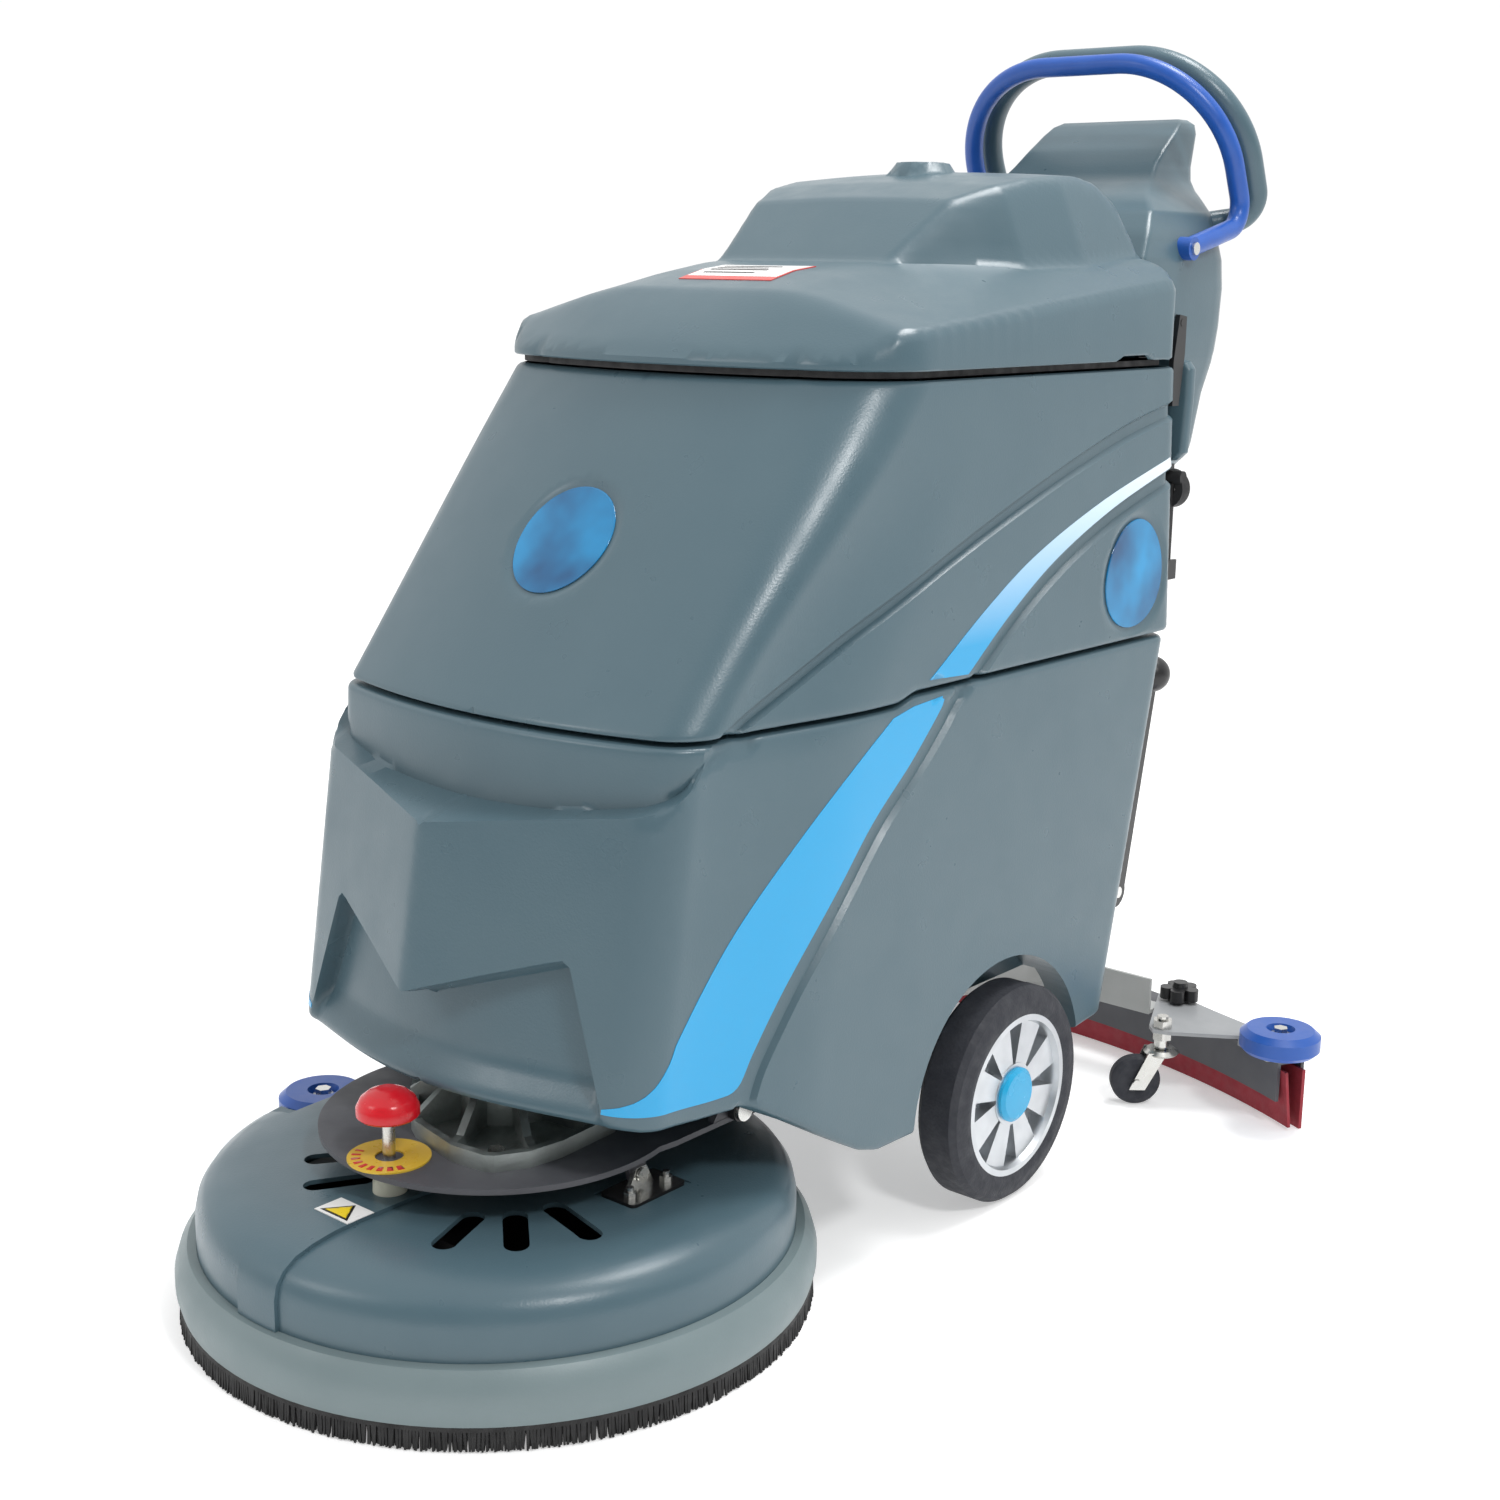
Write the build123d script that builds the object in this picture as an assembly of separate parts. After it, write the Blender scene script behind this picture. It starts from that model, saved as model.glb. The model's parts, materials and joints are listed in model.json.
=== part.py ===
from build123d import *
import math
import os

# Walk-behind floor scrubber-dryer with a single 20 inch disc deck.
# All lengths are millimetres.  +Z is up, the machine drives towards -Y and
# its left side is +X.  While modelling, Y is counted from the brush axis;
# every part is moved back by ORIGIN_Y when it is written, so that the origin
# of the finished files is the middle of the footprint on the floor.

# ---------------------------------------------------------------- driving sizes
ORIGIN_Y = 359.5          # brush axis to the middle of the overall length
PAD_R = 254.0             # 20 inch pad
RING_R = 281.0            # splash ring, widest
COVER_R = 262.0           # deck cover side wall
COVER_TOP = 128.0         # deck cover top
COVER_WALL = 4.0
PLATE_Z = 156.0           # underside of the steel deck plate
PLATE_T = 5.0
PLATE_R = 158.0
PLATE_Y = 2.0             # centre of the plate's round part
TILT_Y, TILT_Z = 24.0, 140.0        # deck tilt hinge
TILT_X = 147.0
KNOB_Y = -125.0           # tilt adjusting knob
WHEEL_Y, WHEEL_R = 451.0, 107.7
WHEEL_IN, WHEEL_OUT = 200.0, 250.0  # inner and outer faces of the drive wheels
RIM_R = 80.5
AXLE_R = 10.0
TANK_X = 235.0            # half width of the tanks
SEAM_Z = 520.0            # seam between the two tanks
FLOOR_Z = 206.0           # raised underside of the lower tank
WALL = 6.0                # rotomoulded wall
LID_Z = 804.0             # underside of the lid
LID_HINGE = (733.0, 838.0)
LIFT_LEN = 180.0          # deck lift arms, pivot to pivot
LIFT_DROP = 4.5           # degrees that the arms slope down at rest
EAR_Y, EAR_Z = 135.0, 169.0         # lift arm pivot on the deck plate
SQ_Y, SQ_R = 69.0, 813.0  # centre and mean radius of the curved squeegee
SQ_SPAN = 54.0            # degrees that the squeegee covers
SQ_TOP = 76.0
SQ_PIVOT_Y, SQ_PIVOT_Z = 600.0, 128.0
CASTER_X, CASTER_Y = 232.0, 762.0
CASTER_R, CASTER_TRAIL = 27.0, 27.0
CASTER_TURN = 220.0       # direction of the trail, degrees from +X
ROLLER_R, ROLLER_H = 42.0, 25.0
SQ_ROLLER_X, SQ_ROLLER_Y = 357.0, 788.0
DECK_ROLLER_X, DECK_ROLLER_Y, DECK_ROLLER_Z = -246.0, 0.0, 91.0
STAR_X, STAR_Y = 204.0, 850.0       # knobs that clamp the squeegee
BAIL_X = 166.0
BAIL_PIVOT = (835.0, 911.0)         # y, z
BAIL_ELBOW = (957.0, 939.0)
BAIL_TOP = (877.0, 1104.0)
BAIL_R, HOOP_R = 10.5, 13.5
HOOP_BACK, HOOP_UP = 34.0, 8.0      # hoop beyond the bail
COLUMN_X, HEAD_X = 155.0, 88.0      # half widths of the console column and its head
RUN = 0.05                # radial running clearance of pins and shafts
GAP = 0.4                 # air between neighbouring bodies

CHASSIS_PIVOT = (EAR_Y + LIFT_LEN * math.cos(math.radians(LIFT_DROP)),
                 EAR_Z + LIFT_LEN * math.sin(math.radians(LIFT_DROP)))
SIDES = (-1, 1)
NODES = {}


# ---------------------------------------------------------------- helpers
def block(x0, x1, y0, y1, z0, z1):
    """Box between two corners."""
    centre = ((x0 + x1) / 2, (y0 + y1) / 2, (z0 + z1) / 2)
    return Pos(*centre) * Box(x1 - x0, y1 - y0, z1 - z0)


def rod_z(x, y, z0, z1, r):
    return Pos(x, y, (z0 + z1) / 2) * Cylinder(r, z1 - z0)


def rod_x(y, z, x0, x1, r):
    return Pos((x0 + x1) / 2, y, z) * Rot(0, 90, 0) * Cylinder(r, x1 - x0)


def rod_y(x, z, y0, y1, r):
    return Pos(x, (y0 + y1) / 2, z) * Rot(90, 0, 0) * Cylinder(r, y1 - y0)


def slab_x(points, x0, x1):
    """Outline in Y, Z carried from x0 to x1."""
    return extrude(Plane.YZ.offset(x0) * Polygon(*points, align=None), x1 - x0, dir=(1, 0, 0))


def slab_y(points, y0, y1):
    """Outline in X, Z carried from y0 to y1."""
    return extrude(Plane.XZ.offset(-y0) * Polygon(*points, align=None), y1 - y0, dir=(0, 1, 0))


def slab_z(points, z0, z1):
    """Outline in X, Y carried from z0 to z1."""
    return extrude(Plane.XY.offset(z0) * Polygon(*points, align=None), z1 - z0, dir=(0, 0, 1))


def inset_x(points, wall, x0, x1):
    """The same outline pulled in by a wall thickness, carried from x0 to x1."""
    face = Plane.YZ.offset(x0) * offset(Polygon(*points, align=None), -wall, kind=Kind.INTERSECTION)
    return extrude(face, x1 - x0, dir=(1, 0, 0))


def turned(points, x=0.0, y=0.0, angle=360):
    """Outline in radius, Z turned about a vertical axis."""
    face = Plane.XZ * Polygon(*points, align=None)
    return Pos(x, y, 0) * revolve(face, Axis.Z, angle)


def turned_x(points, y, z):
    """Outline in X, radius turned about an axis along X."""
    face = Plane.XY * Polygon(*points, align=None)
    return Pos(0, y, z) * revolve(face, Axis.X, 360)


def hex_nut_z(x, y, z0, height, flats):
    side = flats / math.sqrt(3)
    return Pos(x, y, z0) * extrude(RegularPolygon(side, 6), height)


def mirrored(shape):
    return mirror(shape, Plane.YZ)


def arc_at(radius, degrees):
    """Point of a circle about the squeegee's centre; 0 degrees is straight back."""
    a = math.radians(degrees)
    return radius * math.sin(a), SQ_Y + radius * math.cos(a)


def node(name, *solids):
    NODES[name] = solids[0] if len(solids) == 1 else Compound(children=list(solids))

# ---------------------------------------------------------------- tanks
TANK_SIDE = [(-24, SEAM_Z), (-84, 446), (-108, 302), (-93, 218), (40, 206), (230, 105), (300, 100),
             (585, 145), (637, 141), (724, SEAM_Z)]
UPPER_SIDE = [(-24, SEAM_Z + 1), (190, LID_Z - 8), (718, LID_Z - 8), (735, SEAM_Z + 1)]


def tank_plan(y_front, half, bow=35.0, corner=42.0):
    """Bowed front, rounded front corners and straight sides, as a tall block."""
    front = ThreePointArc((-half, y_front + bow), (0, y_front), (half, y_front + bow))
    rest = Polyline((half, y_front + bow), (half, 900), (-half, 900), (-half, y_front + bow))
    block_ = extrude(make_face(front + rest), 1100)
    corners = block_.edges().filter_by(Axis.Z).sort_by(Axis.Y)[:2]
    return fillet(corners, corner)


def tank_block(outline, y_front, half):
    return slab_x(outline, -half, half) & tank_plan(y_front, half)


def solution_tank():
    outer = tank_block(TANK_SIDE, -106, TANK_X)
    # the underside is raised between the side skirts, with a well for the motor
    tunnel = block(-206, 206, 15, 800, 90, FLOOR_Z)
    motor_well = block(-118, 118, -70, 150, 90, 392)
    arches = [rod_x(438, 105, *sorted((s * 192, s * 400)), 142) for s in SIDES]
    room = inset_x(TANK_SIDE, WALL, -TANK_X + WALL, TANK_X - WALL)
    room = room & tank_plan(-106 + WALL, TANK_X - WALL, 35, 36)
    room = room + block(-TANK_X + 12, TANK_X - 12, -16, 716, SEAM_Z - 20, SEAM_Z + 10)
    room = room - block(-206 - WALL, 206 + WALL, 15 - WALL, 800, 90, FLOOR_Z + WALL)
    room = room - block(-118 - WALL, 118 + WALL, -70 - WALL, 150 + WALL, 90, 392 + WALL)
    tank = outer - tunnel - motor_well
    for s, arch in zip(SIDES, arches):
        tank = tank - arch
        room = room - rod_x(438, 105, *sorted((s * (192 - WALL), s * 400)), 142 + WALL)
    # wall between the water and the battery bay
    room = room - block(-300, 300, 192, 198, 90, SEAM_Z - 20)
    node("solution_tank", tank - room)


def recovery_tank():
    outer = tank_block(UPPER_SIDE, -26, TANK_X)
    inside = [(-11, SEAM_Z + 1 + WALL), (208, LID_Z + 5), (712, LID_Z + 5), (727, SEAM_Z + 1 + WALL)]
    tub = outer - slab_x(inside, -TANK_X + WALL, TANK_X - WALL)
    drain = rod_y(120, 560, 700, 760, 19)
    tub = tub - drain
    node("recovery_tank", tub)
    # hose tail for emptying, with its screw cap
    tail = rod_y(120, 560, 724, 790, 19) - rod_y(120, 560, 700, 800, 15)
    tail = tail + (rod_y(120, 560, 738, 744, 26) - rod_y(120, 560, 700, 800, 15))
    cap = rod_y(120, 560, 772, 806, 23) - rod_y(120, 560, 770, 799, 19 + RUN)
    node("drain_port", tail, cap)


def lid():
    base = [(179, LID_Z), (200, 830), (257, 868), (383, 892), (700, 899), (712, LID_Z)]
    hump = [(360, 880), (383, 892), (473, 955), (553, 978), (640, 982), (690, 968), (702, 915), (702, 880)]
    base_plan = Plane.XY.offset(700) * Pos(0, 445.5) * RectangleRounded(2 * TANK_X + 4, 533, 60)
    base_room = Plane.XY.offset(700) * Pos(0, 445.5) * RectangleRounded(2 * TANK_X - 6, 523, 56)
    shell = slab_x(base, -TANK_X - 2, TANK_X + 2) & extrude(base_plan, 300)
    shell = shell + slab_x(hump, -190, 190)
    room = slab_x([(186, LID_Z - 1), (205, 826), (259, 863), (384, 887), (694, 893), (707, LID_Z - 1)],
                  -TANK_X + 3, TANK_X - 3) & extrude(base_room, 300)
    hump_room = slab_x([(366, 870), (386, 887), (475, 949), (554, 972), (640, 976), (685, 963),
                        (697, 912), (697, 870)], -185, 185)
    hinge_y, hinge_z = LID_HINGE
    knuckles = [slab_x([(703, 824), (hinge_y, hinge_z - 8), (hinge_y + 7, hinge_z), (hinge_y, hinge_z + 8),
                        (702, 856)], s * 200 - 16, s * 200 + 16) for s in SIDES]
    shell = shell - room - hump_room
    for knuckle in knuckles:
        shell = shell + knuckle
    for s in SIDES:
        shell = shell - rod_x(*LID_HINGE, s * 200 - 20, s * 200 + 20, 4 + RUN)
    boss = turned([(0, 977), (30, 977), (30, 985), (24, 990), (0, 990)], 0, 590)
    node("recovery_lid", shell + boss)
    gasket = extrude(Plane.XY.offset(LID_Z - 7.6) * Pos(0, 446) * (
        RectangleRounded(2 * TANK_X - 2, 520, 52) - RectangleRounded(2 * TANK_X - 12, 510, 48)), 7.6)
    node("lid_gasket", gasket)
    pins = []
    lugs = []
    for s in SIDES:
        pins.append(rod_x(*LID_HINGE, s * 200 - 23, s * 200 + 23, 4))
        for e in (-1, 1):
            x = s * 200 + e * 20
            lug = slab_x([(721.5, 756), (734, 756), (hinge_y + 8, hinge_z - 30), (hinge_y + 8, hinge_z + 6),
                          (hinge_y - 6, hinge_z + 8), (719, 800)], x - 2.5, x + 2.5)
            lugs.append(lug - rod_x(*LID_HINGE, x - 4, x + 4, 4))
    return lugs + pins


# ---------------------------------------------------------------- console and handle
COLUMN_SIDE = [(738, 690), (880, 664), (918, 690), (930, 760), (958, 860), (958, 905), (930, 960),
               (880, 985), (790, 960), (742, 900)]
HEAD_SIDE = [(868, 930), (888, 990), (958, 1048), (990, 1050), (1000, 1035), (985, 960), (958, 905)]


def console():
    column = slab_x(COLUMN_SIDE, -COLUMN_X, COLUMN_X)
    column = fillet(column.edges().filter_by(GeomType.LINE).filter_by(lambda e: abs(
        e.tangent_at(0.5).X) < 0.5), 14)
    head = slab_x(HEAD_SIDE, -HEAD_X, HEAD_X)
    outer = column + head
    room = inset_x(COLUMN_SIDE, 16, -COLUMN_X + 16, COLUMN_X - 16)
    head_room = slab_x([(876, 920), (895, 984), (958, 1036), (984, 1040), (978, 960), (950, 915)],
                       -HEAD_X + 6, HEAD_X - 6)
    # the rear face has an opening for the control panel
    panel_hole = block(-70, 70, 900, 1010, 790, 880)
    shell = outer - room - head_room - panel_hole
    for s in SIDES:
        shell = shell - rod_x(*BAIL_PIVOT, *sorted((s * (COLUMN_X - 14), s * (COLUMN_X + 5))), 4)
    node("console_column", shell)


def loop_path(back, up, start):
    """Round loop that stands up behind the console and ends at its two sides."""
    elbow = (BAIL_ELBOW[0] + back, BAIL_ELBOW[1] + up)
    top = (BAIL_TOP[0] + back, BAIL_TOP[1] + up)
    x, y, z = start
    points = [(x, y, z), (BAIL_X, *elbow), (BAIL_X, *top),
              (-BAIL_X, *top), (-BAIL_X, *elbow), (-x, y, z)]
    return FilletPolyline(*points, radius=[26, 120, 120, 26])


def round_loop(path, r):
    profile = Plane(origin=path @ 0, z_dir=path % 0) * Circle(r)
    return sweep(profile, path=path)


def handles():
    hoop = round_loop(loop_path(HOOP_BACK, HOOP_UP, (120, 936, 936)), HOOP_R)
    node("handle_hoop", hoop)
    bail = round_loop(loop_path(0, 0, (BAIL_X, *BAIL_PIVOT)), BAIL_R)
    screws = []
    for s in SIDES:
        x0, x1 = sorted((s * (COLUMN_X + GAP), s * (BAIL_X + 9)))
        bail = bail + rod_x(*BAIL_PIVOT, x0, x1, 12)
        x0, x1 = sorted((s * (COLUMN_X - 10), s * (BAIL_X + 20)))
        bail = bail - rod_x(*BAIL_PIVOT, x0, x1, 4 + RUN)
        x0, x1 = sorted((s * (BAIL_X + 9), s * (BAIL_X + 20)))
        bail = bail - rod_x(*BAIL_PIVOT, x0, x1, 7)
        x0, x1 = sorted((s * (COLUMN_X - 14), s * (BAIL_X + 10)))
        screw = rod_x(*BAIL_PIVOT, x0, x1, 4)
        x0, x1 = sorted((s * (BAIL_X + 9 + GAP), s * (BAIL_X + 12)))
        screws.append(screw + rod_x(*BAIL_PIVOT, x0, x1, 6.5))
    node("bail_loop", bail)
    return screws


PANEL_Y = 968.0           # outer face of the control panel
BUTTONS = {"brush_button": -30.0, "vacuum_button": 4.0}


def control_panel():
    plate = block(-78, 78, 960, PANEL_Y, 782, 888)
    panel_base = block(-68, 68, 950, 960, 792, 878)
    panel = plate + panel_base
    cutouts = [rod_y(x, 820, 940, 980, 9) for x in BUTTONS.values()]
    cutouts.append(rod_y(44, 820, 940, 980, 9))
    cutouts.append(block(-48, 48, PANEL_Y - 2, PANEL_Y + 2, 844, 872))
    for cutout in cutouts:
        panel = panel - cutout
    node("control_panel", panel)
    for name, x in BUTTONS.items():
        cap = rod_y(x, 820, 954, PANEL_Y + 3, 8.6)
        node(name, cap + rod_y(x, 820, 946, 951, 8.6) + rod_y(x, 820, 950, 955, 4))
    key = rod_y(44, 820, 952, PANEL_Y + 2, 8.6) + block(42, 46, PANEL_Y + 2, PANEL_Y + 20, 811, 829)
    node("key_switch", key)
    node("motor_controller", block(-60, 60, 905, 930, 790, 868))


# ---------------------------------------------------------------- inside the tanks
def insides():
    bodies = []
    posts = []
    for s in SIDES:
        x = s * 92
        case = block(x - 86, x + 86, 250, 580, FLOOR_Z + WALL, 424)
        bodies.append(fillet(case.edges().filter_by(Axis.Z), 6))
        for y in (275, 555):
            posts.append(rod_z(x, y, 424, 440, 9))
    link = block(-104, 104, 266, 284, 440, 443)
    node("batteries", *bodies, *posts, link)
    # suction motor in the foot of the column, with its fan
    can = rod_z(0, 836, 724, 850, 60) + rod_z(0, 836, 706, 724, 66)
    can = can - rod_z(0, 836, 709, 736, 54)
    can = can - rod_z(0, 836, 700, 712, 22)
    node("vacuum_motor", can)
    disc = rod_z(0, 836, 712, 716, 50) + rod_z(0, 836, 716, 734, 12)
    for i in range(8):
        disc = disc + Pos(0, 836, 0) * Rot(0, 0, 45 * i) * block(10, 50, -1.5, 1.5, 715, 728)
    node("vacuum_fan", disc)
    # the float shuts off the air when the tub is full
    cage = rod_z(0, 650, 640, 780, 34) - rod_z(0, 650, 644, 790, 30)
    for i in range(4):
        cage = cage - Pos(0, 650, 0) * Rot(0, 0, 90 * i) * block(20, 50, -10, 10, 652, 760)
    cage = cage + block(-20, 20, 680, 713, 764, 770)
    node("float_cage", cage - rod_z(0, 650, 644, 790, 30))
    node("float_ball", Pos(0, 650, 672) * Sphere(26))


# ---------------------------------------------------------------- latches and lever
LATCH_X, LATCH_Y = 205.0, 741.0
LATCH_LOW, LATCH_HIGH = 588.0, 690.0


def latches():
    blocks = []
    hooks = []
    for s, side in ((1, "left"), (-1, "right")):
        x = s * LATCH_X
        foot = block(x - 14, x + 14, 732.3, 737, LATCH_LOW - 16, LATCH_LOW + 16)
        for e in (-1, 1):
            foot = foot + block(x + e * 12 - 2, x + e * 12 + 2, 735, 755, LATCH_LOW - 10, LATCH_LOW + 10)
        foot = foot + rod_x(748, LATCH_LOW, x - 14, x + 14, 3)
        blocks.append(foot)
        strap = block(x - 9, x + 9, 744.5, 751.5, LATCH_LOW, LATCH_HIGH - 14)
        strap = strap + rod_x(748, LATCH_LOW, x - 9.5, x + 9.5, 7)
        strap = strap - rod_x(748, LATCH_LOW, x - 12, x + 12, 3 + RUN)
        grip = rod_x(752, LATCH_HIGH - 8, x - 18, x + 18, 7)
        ring = rod_y(x, LATCH_HIGH - 20, 748, 764, 20) - rod_y(x, LATCH_HIGH - 20, 740, 770, 11)
        node("latch_strap_" + side, strap + grip + ring - rod_y(x, LATCH_HIGH - 20, 752, 770, 11))
        hook = block(x - 12, x + 12, 727, 733, LATCH_HIGH + 2, LATCH_HIGH + 26)
        hooks.append(hook + block(x - 12, x + 12, 731, 743, LATCH_HIGH + 2, LATCH_HIGH + 7))
    return blocks + hooks


LEVER_X = 214.0
LEVER_PIVOT = (694.0, 250.0)
LEVER_TOP = (746.0, 474.0)


def lift_lever():
    foot = block(LEVER_X - 22, LEVER_X - 16, 672, 706, 226, 274)
    foot = foot + block(LEVER_X - 60, LEVER_X - 16, 670, 675, 226, 274)
    foot = foot + rod_x(*LEVER_PIVOT, LEVER_X - 16, LEVER_X - 6, 6)
    y0, z0 = LEVER_PIVOT
    y1, z1 = LEVER_TOP
    bar = slab_x([(y0 - 12, z0 - 14), (y0 + 14, z0 - 8), (y1 + 7, z1 - 16), (y1 - 7, z1 - 12)],
                 LEVER_X - 15, LEVER_X - 9)
    bar = bar + rod_x(y0, z0, LEVER_X - 15, LEVER_X - 9, 17)
    bar = bar - rod_x(y0, z0, LEVER_X - 20, LEVER_X, 6 + RUN)
    ball = Pos(LEVER_X - 12, y1 + 2, z1 + 2) * Sphere(19) - bar
    node("lift_lever", bar, ball)
    return foot


# ---------------------------------------------------------------- chassis and wheels
def chassis():
    frame = block(-140, 140, 300, 330, 183, 205)
    for s in SIDES:
        x0, x1 = sorted((s * 92, s * 132))
        frame = frame + block(x0, x1, 244, 650, 172, 205)
        # axle hanger
        x0, x1 = sorted((s * 118, s * 128))
        hanger = [(WHEEL_Y - 60, 175), (WHEEL_Y + 60, 175), (WHEEL_Y + 22, 88), (WHEEL_Y - 22, 88)]
        frame = frame + slab_x(hanger, x0, x1)
        # deck lift bracket
        x0, x1 = sorted((s * 146, s * 154))
        py, pz = CHASSIS_PIVOT
        bracket = [(py - 16, pz - 14), (py + 16, pz - 14), (py + 22, 205), (py - 22, 205)]
        frame = frame + slab_x(bracket, x0, x1)
        x0, x1 = sorted((s * 128, s * 150))
        frame = frame + block(x0, x1, 300, 330, 195, 205)
    frame = frame + block(-132, 132, 620, 650, 172, 205)
    for s in SIDES:
        x0, x1 = sorted((s * 52, s * 60))
        ear = slab_x([(SQ_PIVOT_Y - 16, 110), (SQ_PIVOT_Y + 16, 110), (SQ_PIVOT_Y + 40, 180),
                      (SQ_PIVOT_Y - 20, 180)], x0, x1)
        frame = frame + ear
    frame = frame + block(-95, 95, 585, 625, 172, 182)
    # bracket for the levelling link, above the deck
    for s in SIDES:
        x0, x1 = sorted((s * 7, s * 13))
        py, pz = LINK_REAR
        cheek = [(py - 12, pz - 11), (py + 10, pz - 11), (py + 10, 187), (py - 12, 187)]
        frame = frame + slab_x(cheek, x0, x1)
    frame = frame - rod_x(WHEEL_Y, WHEEL_R, -140, 140, AXLE_R)
    for s in SIDES:
        frame = frame - rod_x(*CHASSIS_PIVOT, *sorted((s * 140, s * 160)), 6)
        frame = frame - rod_x(SQ_PIVOT_Y, SQ_PIVOT_Z, *sorted((s * 48, s * 64)), 6)
    frame = frame - rod_x(*LINK_REAR, -16, 16, 5)
    pins = [rod_x(SQ_PIVOT_Y, SQ_PIVOT_Z, -64, 64, 6), rod_x(*LINK_REAR, -15, 15, 5)]
    for s in SIDES:
        pins.append(headed_pin(*CHASSIS_PIVOT, s))
    axle = rod_x(WHEEL_Y, WHEEL_R, -WHEEL_OUT + 6, WHEEL_OUT - 6, AXLE_R)
    node("chassis_frame", frame, axle)
    return pins


def wheel(side, name):
    """One drive wheel: rubber tyre, spoked rim, hub bearing and cap."""
    s = side
    tyre = turned_x([(s * 202, RIM_R), (s * 200, RIM_R + 8), (s * 203, WHEEL_R - 5), (s * 209, WHEEL_R),
                     (s * 241, WHEEL_R), (s * 247, WHEEL_R - 5), (s * 250, RIM_R + 8), (s * 248, RIM_R)],
                    WHEEL_Y, WHEEL_R)
    node("tyre_" + name, tyre)
    barrel = turned_x([(s * 202, RIM_R - 8), (s * 202, RIM_R), (s * 248, RIM_R), (s * 248, RIM_R - 6),
                       (s * 240, RIM_R - 9), (s * 214, RIM_R - 9)], WHEEL_Y, WHEEL_R)
    hub = turned_x([(s * 202, 17.5), (s * 202, 27), (s * 226, 31), (s * 243, 31), (s * 243, 17.5)],
                   WHEEL_Y, WHEEL_R)
    web = turned_x([(s * 222, 28), (s * 222, RIM_R - 5), (s * 228, RIM_R - 5), (s * 228, 28)],
                   WHEEL_Y, WHEEL_R)
    rim = barrel + hub + web
    for i in range(8):
        x0, x1 = sorted((s * 227, s * 242))
        spoke = loft([Plane.XY.offset(27) * Pos((x0 + x1) / 2, 0) * Rectangle(x1 - x0, 19),
                      Plane.XY.offset(RIM_R - 5) * Pos((x0 + x1) / 2, 0) * Rectangle(x1 - x0, 36)])
        rim = rim + Pos(0, WHEEL_Y, WHEEL_R) * Rot(45 * i + 22.5, 0, 0) * spoke
    rim = rim - rod_x(WHEEL_Y, WHEEL_R, *sorted((s * 195, s * 255)), 17.5)
    bearing = rod_x(WHEEL_Y, WHEEL_R, *sorted((s * 203, s * 241)), 17.5)
    bearing = bearing - rod_x(WHEEL_Y, WHEEL_R, *sorted((s * 200, s * 245)), AXLE_R + RUN)
    node("rim_" + name, rim, bearing)
    cap = turned_x([(s * 244.4, 0), (s * 244.4, 12), (s * 243, 12), (s * 243, 27), (s * 246, 27),
                    (s * 249, 23), (s * 249.5, 0)], WHEEL_Y, WHEEL_R)
    node("wheel_cap_" + name, cap)


# ---------------------------------------------------------------- deck lift
LINK_FRONT = (140.0, 151.0)
LINK_REAR = (LINK_FRONT[0] + LIFT_LEN * math.cos(math.radians(LIFT_DROP)),
             LINK_FRONT[1] + LIFT_LEN * math.sin(math.radians(LIFT_DROP)))


def headed_pin(y, z, side):
    """Pivot pin of a lift arm, with its head outside."""
    pin = rod_x(y, z, *sorted((side * 144, side * 166)), 6)
    return pin + rod_x(y, z, *sorted((side * 165.5, side * 169)), 10)


def lift_arms():
    arms = []
    for s in SIDES:
        x0, x1 = sorted((s * 157, s * 165))
        y0, z0 = EAR_Y, EAR_Z
        y1, z1 = CHASSIS_PIVOT
        arm = slab_x([(y0, z0 - 10), (y1, z1 - 10), (y1, z1 + 10), (y0, z0 + 10)], x0, x1)
        arm = arm + rod_x(y0, z0, x0, x1, 11.5) + rod_x(y1, z1, x0, x1, 11.5)
        arm = arm - rod_x(y0, z0, x0 - 2, x1 + 2, 6 + RUN) - rod_x(y1, z1, x0 - 2, x1 + 2, 6 + RUN)
        arms.append(arm)
    cross = block(-160, 160, 216, 228, 171, 183)
    node("lift_arms", arms[0] + arms[1] + cross)
    y0, z0 = LINK_FRONT
    y1, z1 = LINK_REAR
    link = slab_x([(y0, z0 - 8), (y1, z1 - 8), (y1, z1 + 8), (y0, z0 + 8)], -6, 6)
    link = link + rod_x(y0, z0, -6, 6, 10) + rod_x(y1, z1, -6, 6, 10)
    link = link - rod_x(y0, z0, -8, 8, 6) - rod_x(y1, z1, -8, 8, 5 + RUN)
    node("levelling_link", link)


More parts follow.
